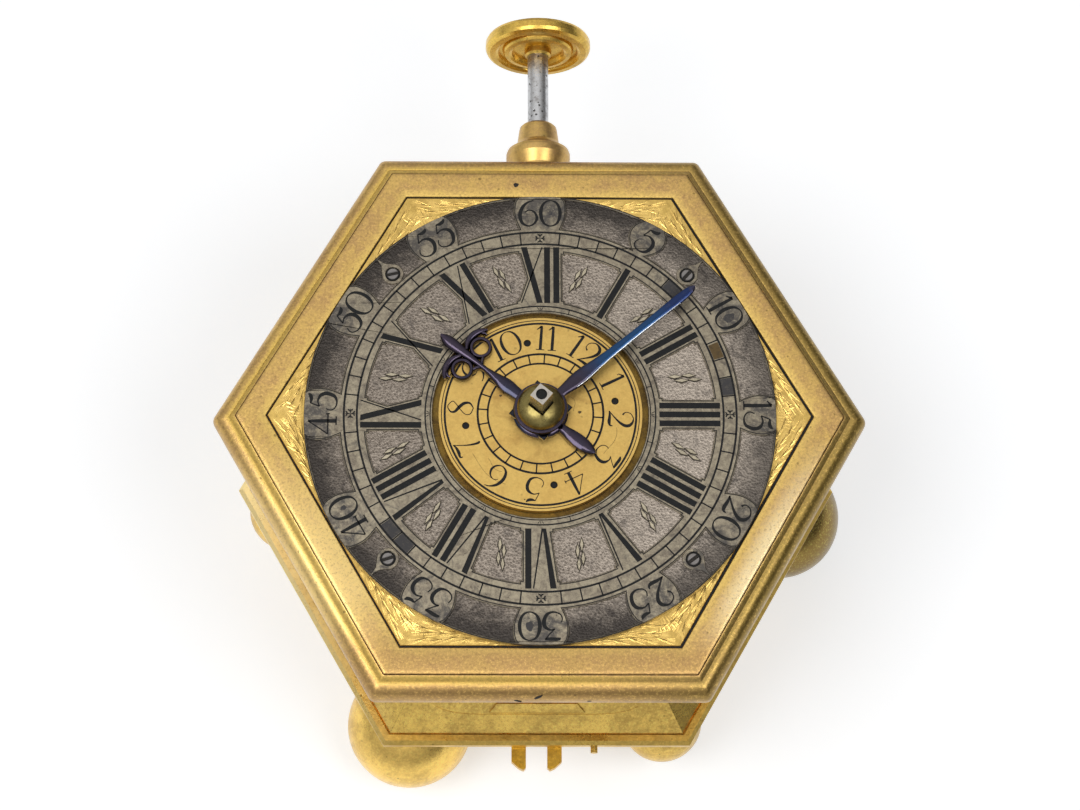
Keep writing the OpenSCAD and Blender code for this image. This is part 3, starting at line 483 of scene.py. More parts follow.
def wax(name, color=(0.009, 0.0095, 0.01), rub=(0.035, 0.033, 0.03)):
    """Dark wax worked into engraved lines; the black and the engraved dark also stand as painted shade in
    gaps and holes and under screw heads.
    """
    s = Shader(name, color, 0.0, 0.55, Specular_IOR_Level=0.2)
    grain = s.noise(1.6, 4.0, 0.7)
    tone = s.mix(s.span(grain, 0.5, 0.8), s.color, rub)
    return s.finish(tone, s.span(grain, 0.3, 0.7, 0.45, 0.7), s.bump(grain, 0.02, 0.5))


def blued(name, color, second, roughness, coat):
    """Heat-blued steel under a film of oil, its colour drifting along the piece."""
    s = Shader(name, color, 1.0, roughness, Coat_Weight=coat, Coat_Roughness=0.12)
    drift = s.noise(0.09, 3.0, 0.5)
    rub = s.noise(0.8, 5.0, 0.7)
    tone = s.layers(s.color, (s.span(drift, 0.38, 0.62), second),
                    (s.span(rub, 0.58, 0.76, 0.0, 0.6), (0.1, 0.08, 0.075)))
    matt = s.span(rub, 0.3, 0.75, roughness - 0.06, roughness + 0.16)
    return s.finish(tone, matt, s.bump(rub, 0.015, 0.4))


def blued_lance():
    """Blued steel of the minute hand: plum at the hub, blue in the middle, browned at the tip."""
    s = Shader("blued_minute", (0.012, 0.052, 0.14), 1.0, 0.18, Coat_Weight=0.3, Coat_Roughness=0.08)
    away = s.times(s.noise(0.3, 4.0, 0.6), 7.0, s.part("R"))
    rub = s.noise(0.9, 5.0, 0.7)
    tone = s.layers(
        (0.035, 0.027, 0.045),
        (s.span(away, 13.0, 20.0), s.color),
        (s.span(away, 30.0, 36.0), (0.012, 0.027, 0.10)),
        (s.span(away, 39.5, 42.5, 0.0, 0.75), (0.085, 0.062, 0.052)),
        (s.span(rub, 0.58, 0.76, 0.0, 0.5), (0.07, 0.075, 0.11)))
    return s.finish(tone, s.span(rub, 0.3, 0.75, 0.2, 0.38), s.bump(rub, 0.015, 0.4))


def steel(name, color=(0.42, 0.41, 0.40), roughness=0.36, rust=0.4, pits=0.36):
    """Filed steel with pitting."""
    s = Shader(name, color, 1.0, roughness)
    pit = s.noise(0.7, 5.0, 0.75)
    spots = s.span(s.times(pit, 0.5, s.cells(0.8)), pits - 0.06, pits, rust, 0.0)
    tone = s.layers(s.color, (s.span(pit, 0.5, 0.72, 0.0, rust), (0.13, 0.105, 0.085)),
                    (spots, (0.03, 0.026, 0.024)))
    matt = s.span(pit, 0.3, 0.75, roughness - 0.08, roughness + 0.24)
    return s.finish(tone, matt, s.bump(s.math("SUBTRACT", pit, spots), 0.05, 0.5))


def pane_glass():
    """Old window glass, a little uneven."""
    s = Shader("pane_glass", (0.93, 0.96, 0.94), 0.0, 0.04, Transmission_Weight=1.0, IOR=1.5)
    return s.set(Normal=s.bump(s.noise(0.08, 2.0, 0.5), 0.05, 0.3))


GILT = gilt("gilt")
GILT_BEZEL = gilt("gilt_bezel", tints=bezel_tints, speckle=0.6)
GILT_DIAL = gilt("gilt_dial", (0.72, 0.485, 0.135), (0.46, 0.295, 0.08), 0.7, 0.3, 0.25)
GILT_LEAF = gilt("gilt_leaf", (0.84, 0.565, 0.17), (0.58, 0.37, 0.1), 0.6, 0.26, 0.1)
GILT_DISC = gilt("gilt_disc", (0.64, 0.43, 0.128), (0.5, 0.31, 0.09), 0.5, 0.42, 0.3, disc_tints, 0.22)
# Dark gilt for the painted shade in the gap round the alarm disc
GILT_GAP_SHADE = gilt("gilt_gap_shade", (0.2, 0.125, 0.03), (0.07, 0.045, 0.02), 0.8, 0.4, 0.5)
GILT_BALL = gilt("gilt_ball", (0.93, 0.62, 0.16), (0.6, 0.385, 0.105), 0.8, 0.27, 0.6, ball_tints)
GILT_BASE = gilt("gilt_base", (0.9, 0.605, 0.148), (0.5, 0.32, 0.085), 0.8, 0.28, 0.5, rim_tints, 0.5)
GILT_RIM = gilt("gilt_rim", (0.7, 0.47, 0.11), (0.46, 0.3, 0.08), 0.7, 0.3, 0.5, rim_tints)
GILT_BUTTON = gilt("gilt_button", (0.8, 0.525, 0.108), (0.5, 0.31, 0.07), 0.7, 0.24, 0.5)
GILT_CATCH = gilt("gilt_catch", (0.70, 0.43, 0.05), (0.42, 0.25, 0.05), 0.6, 0.3, 0.5)
BRASS = brass("brass", (0.62, 0.43, 0.15))
BRASS_COLLET = gilt("brass_collet", (0.28, 0.225, 0.078), (0.15, 0.115, 0.04), 0.9, 0.3, 0.8)
SILVER_GROUND = silver_ground()
SILVER = silver_polished()
SILVER_BRIGHT = silver_polished("silver_bright", (0.5, 0.44, 0.32), 0.35)
# The black and the engraved dark also serve as painted shade in gaps and holes and under screw heads
WAX_AND_SHADE = wax("wax_black_and_shade")
ENGRAVED_AND_SHADE = wax("engraved_dark_and_shade", (0.03, 0.026, 0.022), (0.06, 0.052, 0.045))
STAIN = wax("stain_grey", (0.06, 0.057, 0.058), (0.13, 0.115, 0.095))
BROWNED = wax("browned", (0.13, 0.085, 0.035), (0.06, 0.045, 0.03))
VEIN = wax("vein", (0.3, 0.19, 0.05), (0.2, 0.12, 0.03))
BLUE_HOUR = blued("blued_hour", (0.036, 0.025, 0.045), (0.016, 0.021, 0.042), 0.16, 0.4)
BLUE_DARK = blued("blued_dark", (0.02, 0.02, 0.03), (0.012, 0.014, 0.022), 0.2, 0.3)
BLUE_MINUTE = blued_lance()
STEEL = steel("steel")
STEEL_ROD = steel("steel_rod", (0.56, 0.56, 0.565), 0.26, 0.9, 0.46)
STEEL_SCREW = steel("steel_screw", (0.24, 0.225, 0.215), 0.26, 0.6)
STEEL_SQUARE = steel("steel_square", (0.5, 0.46, 0.41), 0.24, 0.6)
STEEL_EDGE_WEAR_AND_GLINT = steel("steel_edge_wear_and_glint", (0.80, 0.86, 0.92), 0.16, 0.1)
GLASS = pane_glass()


# Writing on the dial

# Each figure's width and strokes in hundredths of its height: points (x, y, weight from hairline to full)
HUNDREDTHS = {
    "0": (74, [[(0, 100, 10), (-25, 87, 50), (-35, 50, 100), (-25, 13, 50), (0, 0, 10), (25, 13, 50),
                (35, 50, 90), (25, 87, 50)]]),
    "1": (34, [[(4, 100, 70), (4, 50, 90), (4, 2, 90)], [(-14, 84, 5), (-3, 93, 35), (3, 100, 50)],
               [(-13, 1, 10), (20, 1, 10)]]),
    "2": (70, [[(-17, 57, 50), (-28, 68, 10), (-24, 88, 10), (-2, 100, 25), (20, 91, 85), (27, 73, 100),
                (17, 50, 70), (-6, 25, 30), (-30, 3, 10)],
               [(-30, 4, 10), (-10, 7, 70), (14, 6, 100), (28, 10, 50), (31, 21, 5)]]),
    "3": (70, [[(-27, 92, 20), (-14, 96, 90), (14, 95, 80), (27, 97, 10)],
               [(27, 97, 10), (8, 74, 8), (-6, 60, 10)],
               [(-6, 60, 10), (10, 63, 30), (27, 52, 90), (31, 32, 100), (20, 8, 70), (-2, 0, 25),
                (-24, 7, 10), (-32, 22, 8), (-29, 36, 5)]]),
    "4": (78, [[(10, 100, 10), (-12, 67, 10), (-38, 30, 10)], [(-38, 30, 12), (0, 30, 12), (36, 30, 16)],
               [(36, 37, 20), (37, 24, 10)], [(10, 100, 50), (10, 50, 95), (10, 2, 95)],
               [(-5, 1, 10), (27, 1, 10)]]),
    "5": (68, [[(-3, 93, 20), (10, 90, 80), (24, 93, 85), (31, 101, 10)],
               [(-3, 94, 12), (-10, 78, 10), (-17, 61, 10)],
               [(-17, 61, 10), (4, 67, 25), (25, 56, 85), (31, 34, 100), (20, 8, 75), (-2, 0, 25),
                (-23, 7, 10), (-31, 22, 8), (-25, 38, 5)]]),
    "6": (68, [[(18, 100, 10), (-2, 93, 30), (-22, 73, 85), (-31, 42, 100), (-23, 12, 70), (0, 0, 20),
                (21, 10, 40), (30, 32, 65), (21, 54, 35), (2, 62, 10), (-14, 53, 5)]]),
    "7": (62, [[(-29, 86, 10), (-25, 96, 50), (-6, 93, 95), (16, 94, 60), (30, 100, 10)],
               [(30, 100, 10), (14, 68, 15), (2, 36, 45), (-3, 10, 65), (0, 0, 50)]]),
    "8": (56, [[(22, 88, 10), (3, 100, 12), (-18, 87, 35), (-16, 70, 75), (3, 55, 100), (20, 36, 90),
                (21, 14, 50), (2, 0, 15)],
               [(2, 0, 12), (-22, 10, 12), (-25, 29, 10), (-7, 50, 8), (14, 67, 8), (25, 80, 10),
                (22, 88, 10)]]),
}
# The 9 is the 6 turned half round
HUNDREDTHS["9"] = (68, [[(-x, 100 - y, weight) for x, y, weight in HUNDREDTHS["6"][1][0]]])
FIGURES = {c: (width / 100, [[tuple(v / 100 for v in point) for point in stroke] for stroke in strokes])
           for c, (width, strokes) in HUNDREDTHS.items()}


def pen_outline(points, height, thin, thick, closed=False):
    """Both edges of a pen stroke through (x, y, weight) points."""
    path = smooth_path(points, 6, closed)
    line = [(x * height, y * height) for x, y, _ in path]
    left, right = [], []
    for p, n, (_, _, weight) in zip(line, normals(line, closed), path):
        half = 0.5 * (thin + (thick - thin) * max(0.0, weight))
        left.append((p[0] + n.x * half, p[1] + n.y * half))
        right.append((p[0] - n.x * half, p[1] - n.y * half))
    return left, right


def figures_width(text, height, gap=0.08):
    return height * (sum(FIGURES[c][0] for c in text) + gap * (len(text) - 1))


def write_figures(solid, text, angle, base, height, thin, thick, low, high, gap=0.08):
    """Figures on the dial at one angle, their feet toward the centre."""
    x = -0.5 * figures_width(text, height, gap)
    for c in text:
        width, strokes = FIGURES[c]
        closed = c == "0"
        for stroke in strokes:
            edges = pen_outline(stroke, height, thin, thick, closed)
            left, right = (swung(moved(edge, (x + 0.5 * width * height, base)), angle) for edge in edges)
            if closed:
                outer, inner = (left, right) if abs(area(left)) > abs(area(right)) else (right, left)
                solid.plate(outer, low, high, [inner])
            else:
                solid.plate(left + right[::-1], low, high)
        x += (width + gap) * height


# Chapter ring

THICK, THIN = 1.15, 0.26
STROKE_GAP, CLOSE_GAP = 0.62, 0.26
V_WIDE, X_WIDE = 4.4, 4.2
BORDER = 0.62
EAR_HIGH, EAR_WIDE = 0.5, 0.48
ROMANS = ["XII", "I", "II", "III", "IIII", "V", "VI", "VII", "VIII", "IX", "X", "XI"]
MINUTE_FIGURES = ["60", "5", "10", "15", "20", "25", "30", "35", "40", "45", "50", "55"]
FIGURE_BASE, FIGURE_HIGH, FIGURE_THIN, FIGURE_THICK = 38.4, 5.35, 0.2, 0.74

# Each letter's width, its strokes as (low left, low right, high left, high right), and its two sides
APEX = (V_WIDE - THICK) / 2
NEAR = (X_WIDE - THICK) / (2 * X_WIDE - THICK - THIN)
WAIST = (X_WIDE - THIN) * NEAR
LETTERS = {
    "I": (THICK, [(0, THICK, 0, THICK)], [(0, 0), (0, 1)], [(THICK, 0), (THICK, 1)]),
    "V": (V_WIDE, [(APEX + 0.3, APEX + THICK - 0.2, 0, THICK),
                   (APEX + THICK - 1.3 * THIN, APEX + THICK, V_WIDE - THIN, V_WIDE)],
          [(APEX, 0), (0, 1)], [(APEX + THICK, 0), (V_WIDE, 1)]),
    "X": (X_WIDE, [(X_WIDE - THICK, X_WIDE, 0, THICK), (0, THIN, X_WIDE - THIN, X_WIDE)],
          [(0, 0), (WAIST, NEAR), (0, 1)], [(X_WIDE, 0), (X_WIDE - WAIST, 1 - NEAR), (X_WIDE, 1)]),
}


def roman_layout(text):
    """A Roman figure's strokes, and its two sides with their border."""
    places, x = [], 0.0
    for c, after in zip(text, text[1:] + " "):
        places.append(x)
        x += LETTERS[c][0] + (STROKE_GAP if c + after == "II" else CLOSE_GAP)
    places = [at - (x - CLOSE_GAP) / 2 for at in places]
    strokes = [[v + at for v in stroke] for c, at in zip(text, places) for stroke in LETTERS[c][1]]
    left = [(v + places[0] - BORDER, t) for v, t in LETTERS[text[0]][2]]
    right = [(v + places[-1] + BORDER, t) for v, t in LETTERS[text[-1]][3]]
    return strokes, left, right


def at_radius(x, radius):
    return (x, math.sqrt(radius * radius - x * x))


def on_radius(low, high, radius):
    """The point of a straight side, given by its feet at the two numeral circles, at one radius."""
    point = (low[0], radius)
    for _ in range(6):
        t = (point[1] - ROMAN_IN) / (ROMAN_OUT - ROMAN_IN)
        point = at_radius(low[0] + (high[0] - low[0]) * (t - low[1]) / (high[1] - low[1]), radius)
    return point


def hour_side(k, sign):
    """A numeral panel's right or left side between the two field circles, with a small ear at each end."""
    side = roman_layout(ROMANS[k])[2 if sign > 0 else 1]
    foot = on_radius(side[0], side[1], FIELD_IN + EAR_HIGH)
    head = on_radius(side[-2], side[-1], FIELD_OUT - EAR_HIGH)
    waist = [(x, ROMAN_IN + t * (ROMAN_OUT - ROMAN_IN)) for x, t in side[1:-1]]
    near, far = foot[0] + sign * EAR_WIDE, head[0] + sign * EAR_WIDE
    return ([at_radius(near, FIELD_IN), at_radius(near, FIELD_IN + EAR_HIGH), foot] + waist
            + [head, at_radius(far, FIELD_OUT - EAR_HIGH), at_radius(far, FIELD_OUT)])


def minute_side(k, sign):
    """The right or left side of the raised plate under a minute figure, from the band to the rim."""
    text = MINUTE_FIGURES[k]
    swell, slope = (1.5, 0.9) if len(text) == 1 else (0.75, 0.5)
    half = figures_width(text, FIGURE_HIGH) / 2 + 0.3
    points = []
    for i in range(13):
        t = i / 12
        points.append((sign * (half + swell * math.sin(math.pi * t) ** 0.8 + (t - 0.4) * slope),
                       BAND_OUT + t * (RIM_IN - BAND_OUT)))
    return points


def bearing(point, about):
    """A point's angle on the dial, within half a turn of a given angle."""
    return (math.degrees(math.atan2(point[0], point[1])) - about + 180) % 360 - 180 + about


def fields_between(side, inner, outer):
    """The twelve sunk fields between raised plates, whose sides run from the inner to the outer circle."""
    fields = []
    for k in range(12):
        about = 30 * k + 15
        here, there = swung(side(k, 1), 30 * k), swung(side((k + 1) % 12, -1), 30 * k + 30)
        inside = arc(inner, bearing(here[0], about), bearing(there[0], about))
        outside = arc(outer, bearing(there[-1], about), bearing(here[-1], about))
        fields.append(inside + there[1:-1] + outside + here[1:-1][::-1])
    return fields


def ring_line(solid, radius, width, low, high):
    solid.plate(circle(radius + width / 2, 240), low, high, [circle(radius - width / 2, 240)])


def radial_line(solid, angle, start, end, width, low, high):
    w = width / 2
    solid.plate(swung(((-w, start), (w, start), (w, end), (-w, end)), angle), low, high)


def lozenge(solid, centre, slant, length, width, angle, low, high, chamfer=0.0):
    corners = [(0, -length / 2), (width / 2, 0), (0, length / 2), (-width / 2, 0)]
    solid.plate(swung(moved(swung(corners, slant), centre), angle), low, high, chamfer=chamfer)


def dent(solid, centre, across, long, wide, deep, up):
    """A shallow dark dent: a flat lens whose long axis lies along across, on a surface facing up."""
    n, a = Vector(up).normalized(), Vector(across).normalized()
    b = n.cross(a)
    loops = []
    for i in range(7):
        height = math.cos(math.pi * (0.06 + 0.88 * i / 6))
        span = math.sqrt(1 - height * height)
        ring = []
        for j in range(14):
            t = 2 * math.pi * j / 14
            ragged = 1 + 0.1 * math.sin(3 * t + 1) + 0.08 * math.sin(5 * t)
            reach = a * long * math.cos(t) + b * wide * math.sin(t)
            ring.append(tuple(Vector(centre) + span * ragged * reach + n * deep * height))
        loops.append(ring)
    solid.loft(loops)


TRACK_OUT, TRACK_IN = 37.05, 34.6
QUARTER_OUT, QUARTER_IN = 21.75, 20.8
TRACK_LINES = ((TRACK_OUT, 0.4), (TRACK_IN, 0.38), (QUARTER_OUT, 0.28), (QUARTER_IN, 0.2))
LATTICE = [(-0.62, 26.6, 2.7), (-0.2, 29.2, 2.6), (0.42, 27.6, 2.7), (0.84, 30.1, 2.5)]
LATTICE_SLANT, LATTICE_WIDE = 14, 0.74
CUT_LONGER, CUT_WIDE = 0.55, 1.08
FIELD_LINE_OUT, FIELD_LINE_IN = 0.37, 0.16
TRACK_TICK, QUARTER_TICK = 0.26, 0.16
SEAT_OUT, SEAT_IN = 1.42, 1.1
STAINED = [7, 13, 37, 38]
BLOTS = {"10": 1.15, "40": 0.6, "30": 0.95, "60": 0.5}
DROP_R, DROP_NECK = 2.05, 1.4
BROWNED_AT = (66.6, 71.6)


def make_fleur(ink_and_shade, angle, low, high):
    """A small cross of four split leaves, at a quarter of the minute track."""
    middle = (TRACK_OUT + TRACK_IN) / 2
    for turn in (0, 90, 180, 270):
        for spread, length, reach in ((0, 1.05, 0.5), (50, 0.6, 0.72), (-50, 0.6, 0.72)):
            dx, dy = turned((spread * 0.006, reach), turn)
            lozenge(ink_and_shade, (dx, middle + dy), turn + spread, length, 0.36, angle, low, high)


def make_track(ink_and_shade, stains, low, high):
    """The minute track with its stained cells, and the quarter-hour track inside."""
    for radius, width in TRACK_LINES:
        ring_line(ink_and_shade, radius, width, low, high)
    for m in range(60):
        if m % 15:
            radial_line(ink_and_shade, 6 * m, TRACK_IN, TRACK_OUT, TRACK_TICK, low, high)
    for m in STAINED:
        start, end = 6 * m + 0.3, 6 * m + 5.7
        cell = arc(TRACK_IN + 0.2, start, end) + arc(TRACK_OUT - 0.2, end, start)
        stains.plate(cell, low, high - 0.7 * INLAY)
    for k in range(24):
        if k % 2:
            radial_line(ink_and_shade, 15 * k, QUARTER_IN, QUARTER_OUT, QUARTER_TICK, low, high)
        else:
            for slant in (-32, 0, 32):
                centre = (slant * 0.012, (QUARTER_IN + QUARTER_OUT) / 2)
                lozenge(ink_and_shade, centre, slant, 0.95, 0.16, 15 * k, low, high)
    for k in range(4):
        make_fleur(ink_and_shade, 90 * k, low, high)


def make_chapter_ring():
    raised, bright, ground, ink_and_shade, lines, stains, browned = (Solid() for _ in range(7))
    hour = fields_between(hour_side, FIELD_IN, FIELD_OUT)
    minute = fields_between(minute_side, BAND_OUT, RIM_IN)
    ground.plate(circle(RING_R - 0.05, 240), RING_LOW, RING_GROUND, [circle(RING_IN + 0.05, 160)])
    holes = [circle(RING_IN, 160)] + hour + minute
    raised.plate(circle(RING_R, 240), RING_LOW + 0.1, RING_TOP, holes, 0.11)
    low, high = RING_TOP - 0.1, RING_TOP + INLAY
    sunk = RING_GROUND - 0.1

    for k in range(12):
        angle = 30 * k
        for a, b, c, d in roman_layout(ROMANS[k])[0]:
            corners = ((a, ROMAN_IN), (b, ROMAN_IN), (d, ROMAN_OUT), (c, ROMAN_OUT))
            ink_and_shade.plate(swung(corners, angle), low, high)
        write_figures(ink_and_shade, MINUTE_FIGURES[k], angle, FIGURE_BASE, FIGURE_HIGH, FIGURE_THIN, FIGURE_THICK,
                      low, high)
        side = 1 if angle < 180 else -1
        slant = side * LATTICE_SLANT
        for x, y, length in LATTICE:
            place = (side * (x - 0.1), y)
            lozenge(lines, place, slant, length + CUT_LONGER, CUT_WIDE, angle + 15, sunk, RING_GROUND + 0.05)
            lozenge(bright, place, slant, length, LATTICE_WIDE, angle + 15, sunk, RING_TOP, 0.07)

    for text, size in BLOTS.items():
        angle = 30 * MINUTE_FIGURES.index(text)
        x = 0.5 * figures_width(text, FIGURE_HIGH) - 0.5 * FIGURES["0"][0] * FIGURE_HIGH
        x, y = turned((x, FIGURE_BASE + 0.5 * FIGURE_HIGH), angle)
        dent(stains, (x, y, RING_TOP), turned((0, 1), angle) + (0,), size, 0.75 * size, 0.02, (0, 0, 1))
    make_track(ink_and_shade, stains, low, high)
    for k in range(4):
        drop = [(x, y if y < DROP_NECK else y + (y - DROP_NECK) * 4.2) for x, y in circle(DROP_R, 40)]
        drop = [(x * min(1.0, max(0.2, (3.4 - y) / 2.0)), y) for x, y in drop]
        rim, hole, seat = (swung(moved(loop, (0, SCREW_AT)), 45 + 90 * k)
                           for loop in (drop, circle(SEAT_OUT, 32), circle(SEAT_IN, 32)))
        raised.plate(rim, sunk, RING_TOP, [hole], 0.08)
        # Painted shade: a dark ring in the gap round each screw head
        ink_and_shade.plate(hole, sunk, RING_GROUND + 0.03, [seat])
    for field in hour + minute:
        loop = wound(field, False)
        lines.plate(offset(loop, FIELD_LINE_OUT), low, high - 0.5 * INLAY, [offset(loop, FIELD_LINE_IN)])
    start, end = BROWNED_AT
    cell = arc(TRACK_IN + 0.25, start, end) + arc(TRACK_OUT - 0.25, end, start)
    browned.plate(cell, low, high - 0.6 * INLAY)

    ground.make("chapter_ring_ground", SILVER_GROUND, "case", "silvered")
    raised.make("chapter_ring_raised", SILVER, "case", "silvered", "chapter_ring")
    bright.make("chapter_ring_lattice", SILVER_BRIGHT, "case", "silvered")
    ink_and_shade.make("chapter_ring_figures_and_shade", WAX_AND_SHADE, "case", "silvered")
    lines.make("chapter_ring_lines", ENGRAVED_AND_SHADE, "case", "silvered")
    stains.make("chapter_ring_stains", STAIN, "case", "silvered")
    browned.make("chapter_ring_browned", BROWNED, "case", "silvered")


# Dial plate with its engraved corners

DIAL_SHIFT = (-0.1, 0.1)
DIAL_HOLE_R, DISC_EDGE_R = 12.3, 18.9
SHADE_OUT, SHADE_IN = 45.0, 44.1
LEAF_STEP, LEAF_LONG = 2.7, 4.6
LEAF_LANES, LEAF_ROWS, LEAF_BLADES = 3, 9, 6


def in_corner(x, y):
    """Whether a point of the dial plate shows between the ring and the bezel."""
    across = max(abs(y), abs(x * COS30 + 0.5 * y), abs(x * COS30 - 0.5 * y))
    return across < DIAL_R - 0.3 and math.hypot(x, y) > RING_R + 0.12


def blade(solid, start, angle, length, half, low, high):
    """One stroke of a leaf: a thin ridge that rises to its pointed end, cut off where it would be hidden."""
    spots = [plus(start, turned((0, length * t / 16), angle)) for t in range(17)]
    shown = [s for s in spots if in_corner(*s)]
    if len(shown) < 5:
        return
    first, last = shown[0], shown[-1]
    loops = []
    for share, width, lift in ((0.0, 0.75, 0.35), (0.45, 1.0, 0.75), (0.8, 0.75, 1.0), (1.0, 0.1, 0.7)):
        centre = tuple(a + (b - a) * share for a, b in zip(first, last))
        rise = (high - low) * lift
        section = [(-1, -0.2), (-1, 0.35 * rise), (0, rise), (1, 0.35 * rise), (1, -0.2)]
        loops.append([(*plus(centre, turned((u * half * width, 0), angle)), low + z) for u, z in section])
    solid.loft(loops)


def make_leaf(leaves, veins, rng, start, run, inward, lean, side, low):
    """A leaf of slanted blades with its vein."""
    middle = (LEAF_BLADES - 1) / 2
    for i in range(LEAF_BLADES):
        shift = turned((0, (i - middle) * 0.3), inward)
        blade(leaves, plus(start, shift), run + lean + side * (i - middle) * 4.5,
              LEAF_LONG * rng.uniform(0.62, 1.0), 0.19, low, low + rng.uniform(0.055, 0.11))
    vein = [plus(start, turned((0, LEAF_LONG * t), run + lean)) for t in (0.35, 0.6, 0.85)]
    if all(in_corner(*p) for p in vein):
        veins.ribbon(vein, [0.05, 0.07, 0.03], low, low + 0.12, 0.5)


def make_dial_plate():
    rng = random.Random(7)
    plate, leaves, veins, gap, dark = (Solid() for _ in range(5))
    outline = moved(hexagon(DIAL_R), DIAL_SHIFT)
    plate.plate(outline, DIAL_LOW, DIAL_TOP - 0.02, [circle(DIAL_HOLE_R, 64)], 0.1)
    low = DIAL_TOP - 0.04
    for k, tip in enumerate(hexagon(DIAL_R)):
        corner = 30 + 60 * k
        for i in range(-3, 4):
            blade(leaves, polar(RING_R + 0.2 + 0.25 * abs(i), corner + i * 0.62), corner + i * 9,
                  rng.uniform(2.2, 3.4), 0.24, low, low + 0.1)
        for side in (-1, 1):
            run, inward = corner + side * 120, corner + side * 30
            for row in range(LEAF_ROWS):
                for lane in range(LEAF_LANES):
                    foot = turned((0, 1.0 + LEAF_STEP * row + 0.8 * (lane % 2)), run)
                    drop = turned((0, -(0.75 + 1.75 * lane)), inward)
                    lean = side * (9 - 9 * lane) + rng.uniform(-7, 7)
                    make_leaf(leaves, veins, rng, plus(plus(tip, foot), drop), run, inward, lean, side, low)
    dark.plate(hexagon(SHADE_OUT), DIAL_LOW, DIAL_TOP - 0.25, [hexagon(SHADE_IN)])
    # Painted shade: a dark gilt ring where the plate shows between the alarm disc and the chapter ring
    gap.plate(circle(RING_IN + 0.05, 96), DIAL_TOP - 0.1, DIAL_TOP + INLAY, [circle(DISC_EDGE_R, 96)])
    plate.make("dial_plate_ground", GILT_DIAL, "case", "gilt_brass", "dial_plate")
    leaves.make("dial_plate_leaves", GILT_LEAF, "case", "gilt_brass", sharp=20)
    dark.make("dial_plate_shade", WAX_AND_SHADE, "case", "gilt_brass")
    gap.make("dial_plate_gap_shade", GILT_GAP_SHADE, "case", "gilt_brass")
    veins.make("dial_plate_veins", VEIN, "case", "gilt_brass")


# Bezel

ROLL_R, ROLL_Z = 51.2, 79.5
ROLL_WIDE, ROLL_DEEP = 2.8, 3.4
BEZEL_INSIDE = [(44.9, 78.5), (44.9, 80.36), (45.0, 80.46), (45.2, 80.5), (49.0, 80.5), (49.45, 80.47),
                (49.7, 80.4), (49.8, 80.32), (49.84, 80.15), (49.9, 80.02), (49.97, 80.14), (50.1, 80.1),
                (50.5, 79.88), (50.8, 79.6), (50.98, 79.47), (51.1, 79.5)]
BEZEL_UNDER = [(54.0, 75.4), (53.8, 75.1), (52.8, 74.7), (46.5, 72.7), (45.1, 72.75), (45.1, 78.5)]
# Centre, long axis, half length, half width, depth and facing of the dents that show
BEZEL_PITS = [((-4.62, 47.45, 80.5), (1, 0.2, 0), 0.52, 0.46, 0.04, (0, 0, 1)),
              ((-4.4, -53.9, 76.8), (1, -0.25, -0.5), 0.95, 0.34, 0.13, (0, -0.95, 0.3)),
              ((-0.6, -53.55, 77.85), (1, 0.2, 0.6), 1.05, 0.36, 0.13, (0, -0.86, 0.5)),
              ((8.93, -53.9, 76.6), (1, 0, 0), 0.55, 0.34, 0.12, (0, -0.97, 0.24))]


def rounded_hexagon(inradius, corner, per=7):
    """Hexagon with flats facing 12 o'clock and rounded corners."""
    points = []
    for k, centre in enumerate(hexagon(inradius - corner)):
        points += [plus(centre, polar(corner, 60 * k + 60 * i / (per - 1))) for i in range(per)]
    return points


def make_bezel():
    turns = [math.radians(7.5 * i) for i in range(13)]
    roll = [(ROLL_R + ROLL_WIDE * math.sin(t), ROLL_Z - ROLL_DEEP * (1 - math.cos(t))) for t in turns]
    bezel, pits = Solid(), Solid()
    loops = []
    for r, z in BEZEL_INSIDE + roll + BEZEL_UNDER:
        corner = 0.2 + 1.3 * max(0.0, (r - 49.0) / 5.0) ** 1.5
        loops.append([(x, y, z) for x, y in rounded_hexagon(r, corner)])
    bezel.loft(loops, round_again=True)
    for pit in BEZEL_PITS:
        dent(pits, *pit)
    bezel.make("bezel_moulding", GILT_BEZEL, "case", "gilt_brass", "bezel", sharp=24)
    pits.make("bezel_pits", ENGRAVED_AND_SHADE, "case", "gilt_brass")


# Alarm disc

HOLE_AT, HOLE_TURN, HOLE_R = 14.3, -10, 0.68
ALARM_OUT, ALARM_IN, ALARM_TICK = 11.85, 9.95, 0.27
HOURS_BASE, HOURS_HIGH, HOURS_THIN, HOURS_THICK, HOURS_GAP = 12.7, 4.85, 0.11, 0.62, 0.12
ALARM_LINES = ((18.66, 0.16), (18.05, 0.4), (ALARM_OUT, 0.42), (ALARM_IN, 0.36))
# Scratches as (radius, start, end) and spots as (radius, angle, size)
SCRATCHES = ((14.6, 101, 124), (15.4, 205, 238), (13.6, 212, 228), (6.6, 60, 86), (8.1, 300, 322))
SPOTS = ((7.4, 88, 0.34), (8.3, 295, 0.3), (7.2, 315, 0.2), (16.6, 62, 0.14), (17.2, 190, 0.16))


